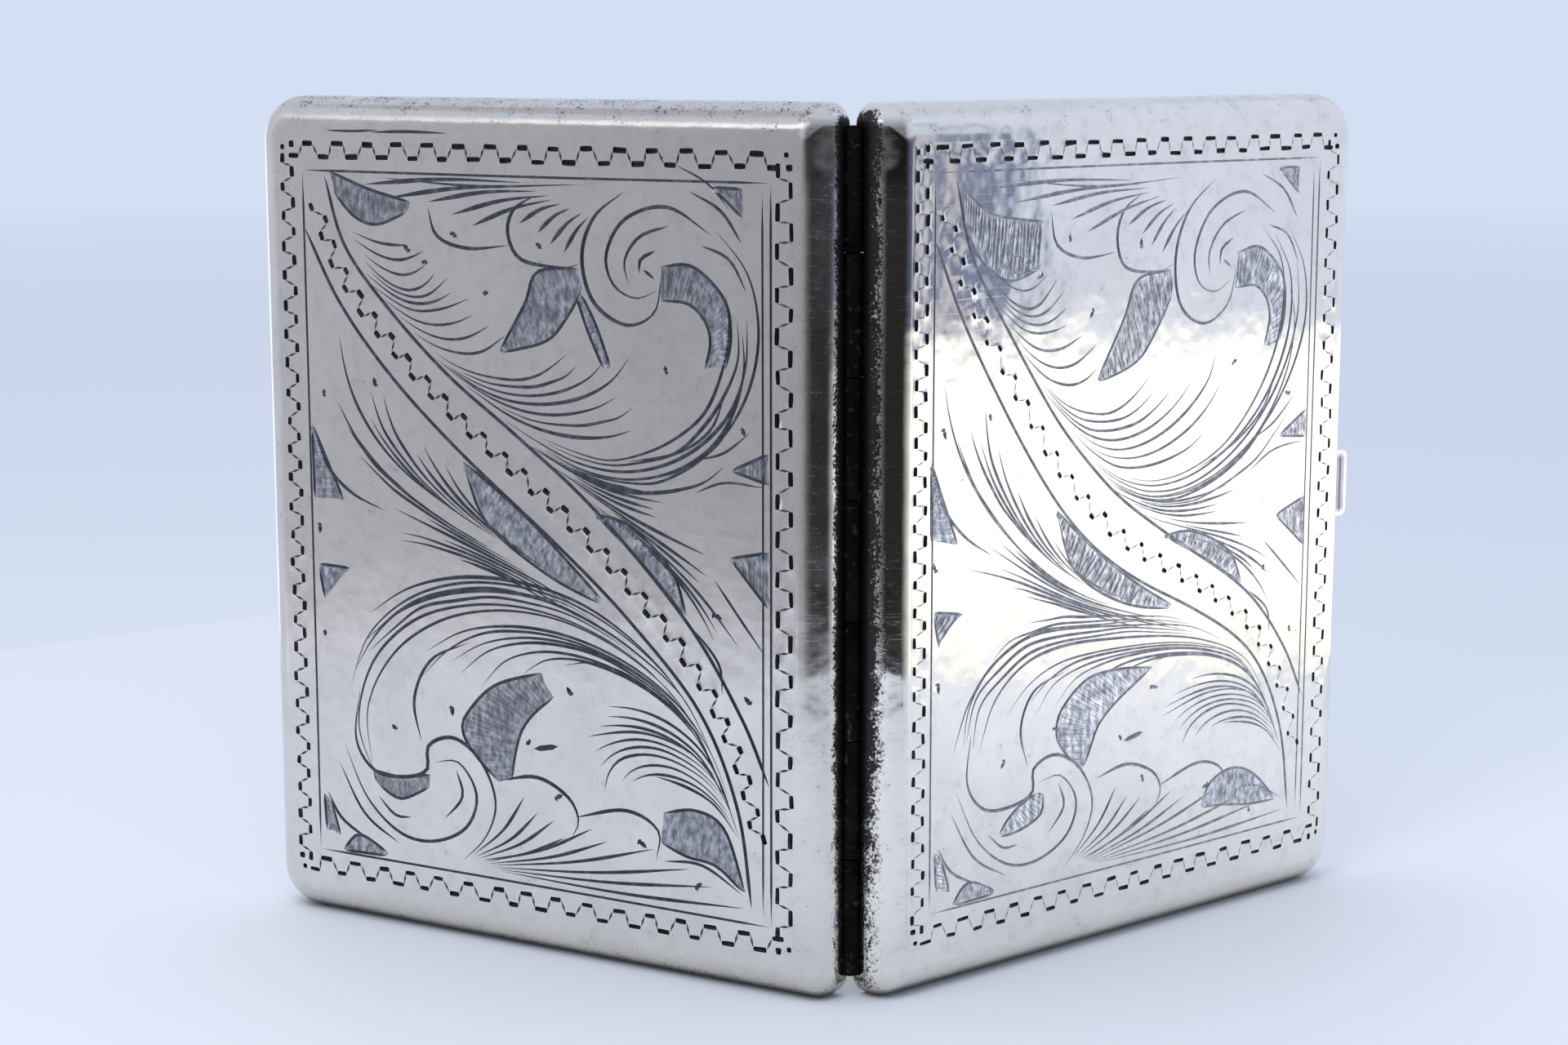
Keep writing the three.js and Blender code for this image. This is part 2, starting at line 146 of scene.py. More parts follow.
class Engraving:
    """The cuts of one cover, in millimetres from its frame line's lower left corner."""

    def __init__(self, seed, bend, bold):
        self.random = random.Random(seed)
        self.bend = bend
        self.bold = bold  # how much wider every stroke is than drawn
        self.cuts = []
        self.patches = []
        self.tone = DARK_CUT

    def jitter(self, size):
        return self.random.uniform(-size, size)

    def cut(self, points, width, head=0.25, tail=0.4, spacing=0.9, bent=True):
        """One graver stroke, thin at both ends: head and tail are the shares that taper."""
        line = smooth(points, spacing)
        if bent:
            line = self.bend(line)
        share = np.linspace(0, 1, len(line))
        rise = np.clip(share / max(head, 1e-6), 0, 1) ** 0.7
        fall = np.clip((1 - share) / max(tail, 1e-6), 0, 1) ** 0.7
        half = 0.5 * self.bold * width * np.minimum(rise, fall)
        self.cuts.append((line, half, self.tone))

    def fan(self, guides, between_each, width=0.24, trim=0.1):
        """Strokes that run from guide to guide, each a little longer or shorter."""
        for guide_a, guide_b in zip(guides, guides[1:]):
            for step in range(between_each):
                share = step / between_each
                self.free_stroke(between(guide_a, guide_b, share), width, trim)
        self.free_stroke(between(guides[-1], guides[-1], 0), width, trim)

    def free_stroke(self, curve, width, trim):
        """A stroke trimmed at both ends by a random share."""
        start, end = self.random.uniform(0, trim * 1.6), 1 - self.random.uniform(0, trim * 1.4)
        points = resampled(curve, np.linspace(start, end, len(curve)))
        self.cut(points, width * self.random.uniform(0.85, 1.2), 0.65, 0.3)

    def shade(self, edge_a, edge_b, gap=0.52):
        """A patch of close shallow strokes across, grey all over, with a firm outline."""
        fine = 0.3
        a, b = smooth(edge_a, fine), smooth(edge_b, fine)
        self.patches.append(self.bend(np.vstack([a, b[::-1]])))
        length = max(len(a), len(b)) * fine
        self.tone = SHADE_CUT
        for step in range(int(length / gap)):
            share = (step + 0.5 + self.jitter(0.25)) * gap / length
            ends = []
            for edge, slip in ((a, self.jitter(0.012)), (b, self.jitter(0.03))):
                place = np.clip(share + slip, 0, 1) * (len(edge) - 1)
                low = min(int(place), len(edge) - 2)
                ends.append(edge[low] + (edge[low + 1] - edge[low]) * (place - low))
            middle = (ends[0] + ends[1]) / 2 + np.array([self.jitter(0.12), self.jitter(0.12)])
            if np.linalg.norm(ends[1] - ends[0]) > 0.35:
                self.cut([ends[0], middle, ends[1]], 0.4 * self.random.uniform(0.7, 1.2), 0.1, 0.2, 1.2)
        self.tone = DARK_CUT
        self.cut(edge_a, 0.26, 0.1, 0.1)
        self.cut(edge_b, 0.24, 0.1, 0.1)

    def dash(self, start, end, width, bent=True):
        """A deep blunt dash: full width nearly to its ends."""
        line = np.array([start, end])
        if bent:
            line = self.bend(line)
        run = line[1] - line[0]
        blunt = 0.09 / np.linalg.norm(run)
        line = np.array([line[0] + run * share for share in (0, blunt, 0.5, 1 - blunt, 1)])
        middle = width / 2
        near_start = middle * self.random.uniform(0.85, 1.05)
        near_end = middle * self.random.uniform(0.8, 1)
        half = np.array([0, near_start, middle, near_end, 0])
        self.cuts.append((line, half, DEEP_CUT))

    def wriggle(self, path, pitch, sway, dash, width, bent=True, thread=0.2):
        """Short deep dashes each side of a path in turn, joined by a thin shallow zigzag."""
        fine = 0.25
        line = smooth(path, fine)
        count = int(len(line) * fine / pitch)
        last_end = None
        for step in range(count):
            place = (step + 0.5 + self.jitter(0.08)) / count * (len(line) - 1)
            low = min(int(place), len(line) - 2)
            ahead = line[low + 1] - line[low]
            ahead /= np.linalg.norm(ahead)
            side = np.array([-ahead[1], ahead[0]]) * (1 if step % 2 else -1)
            middle = line[low] + side * (sway + self.jitter(0.06))
            half = ahead * dash / 2 * self.random.uniform(0.85, 1.15)
            start, end = middle - half, middle + half + side * self.jitter(0.08)
            if last_end is not None:
                self.cut([last_end, (last_end + start) / 2, start], thread, 0.05, 0.05, 1.2, bent)
            self.dash(start, end, width * self.random.uniform(0.85, 1.1), bent)
            last_end = end

    def tick(self, place, angle, length=1.1):
        """A small stray mark: a short stroke with a shorter one across its end."""
        run = np.array([math.cos(angle), math.sin(angle)]) * length
        across = np.array([-run[1], run[0]]) * 0.45
        start = np.array(place)
        self.cut([start, start + run * 0.5, start + run], 0.42, 0.15, 0.5, 0.4)
        self.cut([start + across * 0.6, start - across], 0.34, 0.2, 0.5, 0.4)


FRAME_WIDTH = 61.0
FRAME_HEIGHT = 79.0


def scroll_leaf(cover):
    """The upper scroll: leaves off the band, a stem of long lines, and its volute."""
    cover.fan([
        [(6, 72.6), (10, 71.3), (13, 71), (16, 71.2)],
        [(7, 70.4), (11.5, 66.9), (16, 66.2), (19.5, 69.6)],
        [(9, 66.6), (14.5, 64), (19, 64.2), (23, 65.6)],
        [(13, 62.6), (18.5, 59.9), (24, 59.6), (28.5, 62.4)],
    ], 3)
    cover.fan([
        [(14, 61.6), (22, 57.6), (31, 57.2), (37.5, 61.6)],
        [(17, 59.2), (27, 54.6), (37, 55.2), (43.3, 59.3), (44, 64.5)],
        [(20, 57), (31, 51.8), (42, 51.6), (49.5, 55.6)],
    ], 3, 0.27, 0.16)
    cover.fan([
        [(21.5, 55.8), (32, 50.6), (41, 48.9), (49.3, 51.4), (54.6, 57.2), (56.4, 64),
         (54.8, 69.6), (51, 73)],
        [(24, 54), (34, 48.8), (43, 46.9), (52, 49.2), (57.9, 55.6), (60, 63.6),
         (58.3, 70), (54, 74.4)],
        [(26.5, 52.4), (36, 47.4), (45, 45.6), (53.6, 47.8), (59.6, 53.6)],
    ], 3, 0.28, 0.16)
    cover.cut([(55.5, 57), (53.6, 53), (49.4, 50.3), (43, 48.9)], 0.24)
    cover.cut([(54, 73.4), (48.5, 76.2), (43.2, 74.8), (40.8, 71), (41.7, 67.8), (44.5, 66.5),
               (47.3, 67.5)], 0.3)
    cover.cut([(43.3, 77.8), (39.3, 74.9), (37.7, 70.6), (39.1, 65.9), (43.2, 63.6), (46.8, 65.1),
               (47.7, 69)], 0.34)
    cover.cut([(48.8, 74.3), (45, 73), (43.1, 70.4), (43.6, 67.9)], 0.26)
    cover.cut([(47, 71.6), (45.1, 70.6), (45, 69)], 0.3)
    cover.cut([(45.4, 69.6), (46.9, 68.6)], 0.26)
    cover.cut([(57.6, 72.6), (55, 76), (51, 78)], 0.26)
    cover.cut([(52.5, 72.4), (56, 71), (58.2, 67.5)], 0.24)


def top_lobes(cover):
    """Two rounded lobes under the top line, with straight rays behind them."""
    cover.cut([(17.4, 75.4), (18.6, 72.2), (22.7, 71), (28.2, 71.5)], 0.3)
    cover.cut([(31.8, 77), (28.9, 75.4), (28.1, 72.7), (29.9, 70), (35.4, 69.4), (37.6, 70)], 0.32)
    ends = [(8.5, 77.6), (12, 76.2), (17.4, 75.9), (20.6, 74.6), (23.2, 73.4), (29.6, 73.9),
            (32, 73), (33.6, 71.8), (35.4, 71)]
    for index, (x, z) in enumerate(ends):
        root = (30 + 1.1 * index + cover.jitter(0.4), 78.3 - 0.42 * index)
        middle = ((x + root[0]) / 2, (z + root[1]) / 2 + 0.45)
        cover.cut([(x, z), middle, root], 0.38, 0.25, 0.7)
    cover.cut([(11, 78.4), (24, 77.8), (38, 78.3)], 0.2, 0.4, 0.4)


def right_fan(cover):
    """Lines off the upper side of the band that fall away along it to the right."""
    cover.fan([
        [(28.5, 50.9), (38, 47), (46, 45.8), (53.5, 46.2)],
        [(31, 49.2), (40, 45), (47, 43.2), (54, 42.6)],
        [(34.2, 46.9), (44, 41.9), (52, 36.8), (58.2, 31.6)],
        [(37.8, 44.3), (46.5, 39.2), (52.6, 33), (56.6, 25)],
    ], 3, 0.26, 0.24)
    cover.cut([(54, 37.2), (57.4, 33), (60.4, 29.4)], 0.22)
    cover.cut([(51.6, 31.4), (54.6, 28), (55, 24.6)], 0.24)
    cover.cut([(51.6, 46.2), (55.4, 47.6), (60.4, 47.4)], 0.2)
    cover.cut([(52.2, 49.8), (55.4, 50.8), (58.6, 53.2)], 0.22)


def left_fan(cover):
    """Lines off the lower side of the band that sweep up to the left."""
    cover.fan([
        [(27, 38.8), (18, 42.9), (11, 47.5), (6.2, 54), (4.6, 61)],
        [(28.6, 38), (21, 41.4), (14.4, 46), (9.8, 51.5), (8.4, 58.2)],
        [(31, 37), (25, 39.8), (18, 44.6), (13.4, 50.4), (12, 54.6)],
        [(36.4, 34.4), (31.4, 37), (25, 40.5), (20.2, 45), (17.8, 49.2)],
    ], 2, 0.27, 0.2)
    cover.fan([
        [(29.5, 36.4), (19.5, 40.2), (10.5, 45.2), (4.4, 51.6), (1.8, 59.6)],
        [(38, 32.6), (30, 35.9), (20, 39.6), (11, 44), (4.2, 49.6)],
        [(42, 29.4), (34, 33.4), (25, 36.6), (15, 39.2), (6, 40.4)],
        [(45, 26.9), (36, 31.2), (26, 35.2), (16, 36.9), (6, 36.4)],
    ], 3, 0.26, 0.26)
    cover.cut([(0.6, 49.8), (2.6, 45.4), (6, 42.6), (10.5, 41)], 0.3)


def lower_scroll(cover):
    """The lower scroll: its stem of long lines, turned to the left and down, and its volute."""
    cover.fan([
        [(54.4, 17.6), (50, 24.4), (42, 30.7), (32, 34.2), (20, 34.4), (10, 30.8), (4, 24)],
        [(55, 16), (50.2, 23.8), (42, 29.7), (32.4, 32.9), (20.8, 32.9), (11, 29.4), (5, 22.4), (3.2, 15),
         (5.4, 7.8)],
        [(55.6, 14.2), (50.8, 22.6), (42.4, 28.2), (33.2, 31), (22.4, 30.8), (13.2, 27), (7.6, 20.6),
         (6.2, 14), (8.4, 8.6), (13.6, 5.2)],
    ], 3, 0.28, 0.2)
    cover.fan([
        [(56.1, 12.8), (51.2, 21.8), (43, 27), (34, 29.4), (23.4, 29), (15.4, 25), (10.8, 20.2)],
        [(56.5, 11.4), (51.6, 20.8), (44, 25.6), (36, 27.9), (27.4, 27.5), (21, 24.4), (18.4, 20.2)],
        [(56.9, 10), (52, 19.8), (45.6, 24.4), (39, 26.6), (33.4, 25.4)],
    ], 3, 0.24)
    cover.cut([(15, 14.6), (14.1, 19.6), (16.6, 24.4), (22, 27)], 0.28)
    cover.cut([(6.4, 20), (5.6, 14), (8, 10.6), (12, 10.2), (15.6, 11.4), (16, 14.4), (19.6, 15.7),
               (23.3, 13.4), (25.2, 9), (23.8, 4.8), (20.2, 1.2)], 0.33)
    cover.cut([(16.6, 12.5), (20.2, 12.9), (22.6, 9.4), (21, 5.4), (16.4, 3.2), (11.6, 3.6), (7, 7.2),
               (3.8, 13.4)], 0.28)
    cover.cut([(19.8, 12.1), (20.6, 9), (18, 6)], 0.26)
    cover.cut([(11.6, 2.2), (6.6, 5.2), (3, 11)], 0.24)
    cover.cut([(13.4, 5.6), (11, 5.6), (8.6, 7.6)], 0.24)
    cover.cut([(1.2, 7.2), (3.4, 4), (8.6, 1.4)], 0.28)


def bottom_lobes(cover):
    """Two lobes above the bottom line, with rays that spring from the volute's foot."""
    cover.cut([(25.8, 11.6), (30.9, 12.6), (35, 10.9), (36.4, 8.4), (35.4, 6.2)], 0.32)
    cover.cut([(35.9, 8.7), (42.6, 10.4), (46.8, 8.7), (46.5, 5.2)], 0.3)
    ends = [(29.2, 10.2), (31, 8.6), (33.2, 8), (34.6, 6.2), (38.4, 7.8), (40.4, 6.6), (46.4, 6.6),
            (51, 5), (53.8, 3.4), (57.8, 1.6)]
    for index, (x, z) in enumerate(ends):
        root = (22 + 0.4 * index, 2.4 - 0.15 * index)
        middle = ((x + root[0]) / 2 + 0.6, (z + root[1]) / 2 - 0.4)
        cover.cut([(x, z), middle, root], 0.3, 0.3, 0.7)
    cover.cut([(47.4, 5.4), (52.4, 5.6), (57.6, 3)], 0.24)
    cover.fan([
        [(57.3, 8.6), (54, 16.4), (49.6, 20.3), (44, 22), (38.6, 21.6)],
        [(56, 14), (51, 18), (44, 19.4), (35.8, 17.6)],
        [(57, 11), (52.4, 15.4), (46, 17.2), (40.8, 15.2), (39.7, 11)],
        [(57.6, 8.4), (54.2, 12.4), (50, 14.2), (45, 14.9)],
    ], 3, 0.24)


def shaded_patches(cover, is_front):
    """The patches darkened behind the leaves, along the band and in the corners."""
    if is_front:
        cover.shade([(4.2, 77.4), (8, 75.2), (12, 74.6), (16.4, 74.4)],
                    [(4.6, 73.4), (7.4, 70.2), (11.5, 68.6), (16, 69.8)])
    else:
        cover.shade([(3.9, 78.9), (9.3, 77.1), (15, 75.8)],
                    [(4.4, 76.6), (7.2, 74), (10.3, 73.2), (14.4, 74.6)])
        cover.shade([(37.6, 66.6), (39.4, 63.4), (41.2, 59)], [(36.9, 66.4), (38.4, 62.6), (40.3, 58.8)])
    cover.shade([(37.2, 69.4), (31.9, 68.8), (30.2, 65.3), (26.8, 60)],
                [(37.7, 67.2), (35.8, 64.2), (33, 61.4), (27.2, 59.8)])
    cover.shade([(47.7, 70), (51.6, 70.1), (55.4, 66.9), (56.2, 63.2), (55.6, 59.6)],
                [(47.6, 66.4), (51, 66.2), (53.1, 64.4), (53.7, 62.1), (53, 59.5)])
    cover.shade([(53.9, 78.4), (57.7, 78.3)], [(54.4, 78.1), (57.7, 75.3)])
    cover.shade([(56.3, 49), (60.7, 51)], [(56.3, 48.9), (60.7, 47.8)])
    cover.shade([(56, 39.6), (60.7, 40.6)], [(56.2, 39.4), (60.7, 34.6)])
    cover.shade([(38.9, 43), (43.4, 42), (48.6, 37.8), (50.6, 32.9)],
                [(39.4, 42.6), (44.4, 38.6), (50.2, 33)])
    cover.shade([(21.6, 47.4), (30, 41.8), (39.8, 33.6)],
                [(21.8, 46.4), (24.8, 40.6), (32.4, 35.8), (39.4, 33.1)])
    cover.shade([(0.4, 50.2), (4.7, 41.7)], [(0.4, 49.6), (0.5, 41.7)])
    cover.shade([(0.9, 34), (5.4, 33.9)], [(0.9, 33.4), (1.6, 30)])
    if is_front:
        cover.shade([(35.9, 25.5), (30.5, 26.3), (25.4, 25.5), (20.8, 21.5), (19.8, 18.1), (21.2, 15.5),
                     (23.4, 13.4)],
                    [(35.7, 25.2), (32.8, 23.5), (29.2, 21.1), (26.6, 18.6), (25.2, 15.9), (24, 13.5)])
        cover.shade([(17.4, 11), (16.9, 8.6), (13.6, 7.2), (10.6, 6.9)],
                    [(16.4, 11.3), (13.6, 10.1), (11.8, 8.8), (10.4, 7.2)])
        cover.shade([(43.4, 5.4), (45.1, 7.6), (48.7, 8.5), (52.4, 7), (56.2, 3.3)],
                    [(43.4, 4.5), (46.8, 4.2), (51.3, 3.4), (56.2, 3.1)])
    else:
        cover.shade([(31.7, 24.6), (25.3, 22.4), (21.5, 18.8), (20.8, 16.7), (22.3, 14.3), (25.7, 11.4)],
                    [(33.3, 22), (30.7, 19.9), (28.9, 17.6), (27.9, 14.4), (27.5, 11.8)])
        cover.shade([(7.8, 10.5), (11.9, 10.2), (16.2, 11)], [(8.8, 8.8), (11.9, 7.6), (16, 9.5)])
        cover.shade([(47.5, 10.8), (51.6, 11.6), (55.2, 10), (57.7, 3.6)],
                    [(47.2, 7.4), (50.5, 6.3), (54.1, 5.8), (57.5, 3.4)])
    cover.shade([(3.4, 0.5), (5.8, 2.5), (9.8, 0.9)], [(3.6, 0.3), (6.4, 0.4), (9.6, 0.5)])
    cover.shade([(0.7, 6.8), (1, 2.4)], [(1.7, 6), (3, 2)])


def stray_ticks(cover):
    """Small marks that fill the bare places."""
    places = [(16.6, 69.3), (20.6, 72.6), (25.2, 66.2), (32, 71.8), (48.2, 58.8), (2.2, 53.6), (9.6, 55.2),
              (14.6, 70.4), (54, 33.4), (58.4, 24.2), (1.2, 38.6), (11.4, 15.8), (19.4, 19.2), (35.6, 22.6),
              (33.4, 10.6), (44.4, 7.2), (51.6, 3), (57.6, 53.4), (30, 16.6), (1.4, 25.8)]
    for place in places:
        cover.tick(place, cover.random.uniform(0, 2 * math.pi), cover.random.uniform(0.6, 1.2))
    cover.cut([(30.5, 15.8), (32, 16.1), (33.8, 16.5)], 0.45, 0.1, 0.1)


BAND_LOWER = [(0, 72.7), (4.9, 64.2), (11.9, 56.3), (21.2, 48.4), (34.1, 39), (43.3, 31.6), (52.1, 22.6),
              (56.8, 12.6), (58.6, 1.6)]
BAND_UPPER = [(3.1, 78.5), (5.7, 70.8), (11.4, 64.2), (19.6, 57), (28.9, 50.7), (39.2, 43.2), (50.6, 32.2),
              (57.3, 22.6), (60.8, 15.3)]


def draw_cover(seed, bend, is_front):
    """Every cut inside the frame line of one cover."""
    cover = Engraving(seed, bend, 1.22 if is_front else 1.42)
    cover.cut(BAND_LOWER, 0.3, 0.03, 0.03)
    cover.cut(BAND_UPPER, 0.3, 0.03, 0.03)
    middle = [((a[0] + b[0]) / 2, (a[1] + b[1]) / 2) for a, b in zip(BAND_LOWER, BAND_UPPER)]
    if is_front:
        cover.wriggle(middle, 1.75, 0.64, 0.78, 0.5, thread=0.12)
    else:
        cover.wriggle(middle, 1.62, 0.66, 1.05, 0.62)
    shaded_patches(cover, is_front)
    for part in (scroll_leaf, top_lobes, right_fan, left_fan, lower_scroll, bottom_lobes, stray_ticks):
        part(cover)
    return cover


def draw_border(cover, out, step, long_side, stout=1.0, thread=0.2):
    """The frame line, and the wriggled rows so far out from it, with one dash to each step."""
    corners = [(0, 0), (FRAME_WIDTH, 0), (FRAME_WIDTH, FRAME_HEIGHT), (0, FRAME_HEIGHT)]
    for start, end in zip(corners, corners[1:] + corners[:1]):
        middle = ((start[0] + end[0]) / 2 + cover.jitter(0.1), (start[1] + end[1]) / 2 + cover.jitter(0.1))
        cover.cut([start, middle, end], 0.2, 0.01, 0.01, 4, bent=False)
    inner = FRAME_WIDTH - 1
    inner_line = [(inner, 1), (inner + 0.05, FRAME_HEIGHT / 2), (inner, FRAME_HEIGHT - 1)]
    cover.cut(inner_line, 0.18, 0.02, 0.02, 4, bent=False)
    west, east = -out["left"], FRAME_WIDTH + out["right"]
    south, north = -out["bottom"], FRAME_HEIGHT + out["top"]
    for start, end, side, sway, dash, width in (
            ((west, north), (east, north), "top", 0.72, 1.6, 0.62),
            ((east, north), (east, south), "right", 0.8, long_side, 0.55),
            ((east, south), (west, south), "bottom", 0.75, 1.5, 0.55),
            ((west, south), (west, north), "left", 0.72, 1.15, 0.6)):
        cover.wriggle([start, end], step[side], sway, dash, width * stout, bent=False, thread=thread)
    for corner, ahead in (((west, north), (1, 0)), ((east, north), (0, -1)),
                          ((east, south), (-1, 0)), ((west, south), (0, 1))):
        corner_marks(cover, corner, ahead, stout)


def corner_marks(cover, corner, ahead, stout):
    """The two short dashes with which the graver turned a corner of the border."""
    ahead = np.array(ahead)
    out = np.array([-ahead[1], ahead[0]])
    for along, away, length, width in ((0.7, 0.6, 0.8, 0.7), (-0.6, 0.25, 0.62, 0.56)):
        middle = np.array(corner) + ahead * along + out * away
        cover.dash(middle - out * length / 2, middle + out * length / 2, width * stout, bent=False)


# ---- engraving: from strokes to a cut surface ------------------------------

CUT_SLOPES = np.array([0, 0.5, 0.34, 0.6])  # depth over half the width, by tone
CELL = 1.0  # side of the squares that cuts are looked up by
SHALLOWEST = 0.003
LIP = 0.26  # how far from a deep dash the metal is pushed up
LIP_HEIGHT = 0.022


class Cuts:
    """How deep the cover is cut at any place, from the cuts near it."""

    def __init__(self, cuts):
        starts, ends, halves, tones = [], [], [], []
        for line, half, tone in cuts:
            starts.append(line[:-1])
            ends.append(line[1:])
            halves.append(np.column_stack([half[:-1], half[1:]]))
            tones.append(np.full(len(line) - 1, tone))
        self.start, self.end = np.vstack(starts), np.vstack(ends)
        self.half, self.tone = np.vstack(halves), np.concatenate(tones)
        self.cells = {}
        low = np.minimum(self.start, self.end) - self.half.max(1)[:, None]
        high = np.maximum(self.start, self.end) + self.half.max(1)[:, None]
        first, last = (np.floor(corner / CELL).astype(int) for corner in (low, high))
        for index, (a, b) in enumerate(zip(first, last)):
            for column in range(a[0], b[0] + 1):
                for row in range(a[1], b[1] + 1):
                    self.cells.setdefault((column, row), []).append(index)

    def depth(self, points):
        """The depth at each point, and the tone of the cut that is deepest there."""
        deep, tone = np.zeros(len(points)), np.zeros(len(points), int)
        cells = np.floor(points / CELL).astype(int)
        order = np.lexsort((cells[:, 1], cells[:, 0]))
        ordered = cells[order]
        breaks = np.flatnonzero(np.any(np.diff(ordered, axis=0) != 0, axis=1)) + 1
        for group in np.split(order, breaks):
            near = self.cells.get(tuple(cells[group[0]]))
            if near is None:
                continue
            start, run = self.start[near], self.end[near] - self.start[near]
            offset = points[group][:, None] - start[None]
            free = (offset * run).sum(2) / np.maximum((run * run).sum(1), 1e-12)
            along = np.clip(free, 0, 1)
            away = np.linalg.norm(offset - along[..., None] * run, axis=2)
            away[(np.abs(free - along) > 0.002) & (self.tone[near] == DEEP_CUT)] = 9
            half = self.half[near]
            reach = half[:, 0] + (half[:, 1] - half[:, 0]) * along
            sunk = (reach - away) * CUT_SLOPES[self.tone[near]]
            deepest = sunk.argmax(1)
            deep[group] = np.clip(sunk.max(1), 0, None)
            tone[group] = self.tone[near][deepest]
        deep[deep < SHALLOWEST] = 0
        return deep, tone


def lifted(cuts, points):
    """How far the metal beside each deep dash stands up, at each point."""
    lift = np.zeros(len(points))
    for line, half, tone in cuts:
        if tone != DEEP_CUT:
            continue
        start, run = line[0], line[-1] - line[0]
        reach = half.max() + LIP
        middle = start + run / 2
        near = np.flatnonzero(np.abs(points - middle).max(1) < np.abs(run).max() / 2 + reach)
        offset = points[near] - start
        along = np.clip((offset @ run) / (run @ run), 0, 1)
        away = np.linalg.norm(offset - along[:, None] * run, axis=1) - half.max()
        lift[near] = np.maximum(lift[near], LIP_HEIGHT * np.clip(1 - away / LIP, 0, 1))
    return lift


def lip_edges(cuts, points, edges):
    """A ring round each deep dash, where the metal that it pushed up ends."""
    for line, half, tone in cuts:
        if tone != DEEP_CUT:
            continue
        start, end = line[0], line[-1]
        ahead = (end - start) / np.linalg.norm(end - start)
        side = np.array([-ahead[1], ahead[0]]) * (half.max() + LIP)
        tip = ahead * (half.max() + LIP)
        ring = [start - tip, start - 0.7 * (tip - side), start + side, end + side, end + 0.7 * (tip + side),
                end + tip, end + 0.7 * (tip - side), end - side, start - side, start - 0.7 * (tip + side)]
        first = len(points)
        points.extend(Vector(place) for place in ring)
        edges.extend((first + k, first + (k + 1) % len(ring)) for k in range(len(ring)))


def stroke_edges(cuts, points, edges):
    """Adds each cut's middle line and two sides to the plan that the cover is meshed on."""
    thinnest = 0.012
    for line, half, _ in cuts:
        ahead = np.gradient(line, axis=0)
        ahead /= np.maximum(np.linalg.norm(ahead, axis=1), 1e-9)[:, None]
        side = np.column_stack([-ahead[:, 1], ahead[:, 0]]) * half[:, None]
        rows = []
        for sign in (-1, 0, 1):
            row = []
            for place, offset, reach in zip(line, side, half):
                if reach < thinnest and sign:
                    row.append(None)
                    continue
                row.append(len(points))
                points.append(Vector(place + offset * sign))
            rows.append(row)
        for row in (rows[0], rows[2]):
            for k, index in enumerate(row):
                if index is None:
                    row[k] = rows[1][k]
        for row in rows:
            edges.extend((a, b) for a, b in zip(row, row[1:]) if a != b)


def leaf_ring(inset, w, steps=10):
    """A rounded rectangle round the leaf, in from its edge by so much, at one depth."""
    wide = CORNER_RADIUS - inset
    tight = max(SPINE_CORNER - inset, MITRE_RADIUS)
    left, right = SPINE_START + inset + tight, WIDTH - inset - wide
    low, high = inset, HEIGHT - inset
    corners = [(right, high - wide, wide), (left, high - tight, tight), (left, low + tight, tight),
               (right, low + wide, wide)]
    ring = []
    for corner, (u, z, radius) in enumerate(corners):
        for step in range(steps + 1):
            angle = (corner + step / steps) * math.pi / 2
            ring.append((u + radius * math.cos(angle), w, z + radius * math.sin(angle)))
    return ring


def inside(outline, points):
    """Which points lie inside a closed outline."""
    found = np.zeros(len(points), bool)
    for (x1, y1), (x2, y2) in zip(outline, np.roll(outline, -1, axis=0)):
        crossed = (points[:, 1] < y1) != (points[:, 1] < y2)
        reach = x1 + (points[:, 1] - y1) * (x2 - x1) / (y2 - y1 if y2 != y1 else 1)
        found ^= crossed & (points[:, 0] < reach)
    return found


def engraved_face(cuts, patches):
    """The flat of a cover as triangles in leaf millimetres, sunk wherever it is cut."""
    ring = leaf_ring(EDGE_RADIUS, DEPTH)
    points = [Vector((u, z)) for u, _, z in ring]
    edges = [(k, (k + 1) % len(ring)) for k in range(len(ring))]
    stroke_edges(cuts, points, edges)
    lip_edges(cuts, points, edges)
    plan, _, faces, _, _, _ = delaunay_2d_cdt(points, edges, [], 0, 1e-5)
    flat = np.array([tuple(point) for point in plan])
    field = Cuts(cuts)
    deep, _ = field.depth(flat)
    triangles = np.array([face for face in faces if len(face) == 3])
    middles = flat[triangles].mean(1)
    deep_inside, tone = field.depth(middles)
    tone[deep_inside == 0] = 0
    for outline in patches:
        tone[(tone == 0) & inside(outline, middles)] = SHADE_CUT
    height = DEPTH - deep + np.where(deep > 0, 0, lifted(cuts, flat))
    verts = np.column_stack([flat[:, 0], height, flat[:, 1]])
    return verts, triangles, tone


# ---- meshes ----------------------------------------------------------------


def loft(rings, close_first=True, close_last=True, inside_from=None, inside=0):
    """A bmesh through equal rings of points, with n-gons over its ends.

    Faces from ring inside_from on take the material numbered inside."""
    mesh = bmesh.new()
    rows = [[mesh.verts.new(point) for point in ring] for ring in rings]
    count = len(rings[0])
    for index, (row, above) in enumerate(zip(rows, rows[1:])):
        for k in range(count):
            following = (k + 1) % count
            face = mesh.faces.new((row[k], row[following], above[following], above[k]))
            if inside_from is not None and index >= inside_from:
                face.material_index = inside
    if close_first:
        mesh.faces.new(rows[0][::-1])
    if close_last:
        mesh.faces.new(rows[-1]).material_index = inside
    bmesh.ops.recalc_face_normals(mesh, faces=mesh.faces)
    return mesh


def to_object(mesh, name):
    data = bpy.data.meshes.new(name)
    mesh.to_mesh(data)
    mesh.free()
    piece = bpy.data.objects.new(name, data)
    bpy.context.scene.collection.objects.link(piece)
    return piece


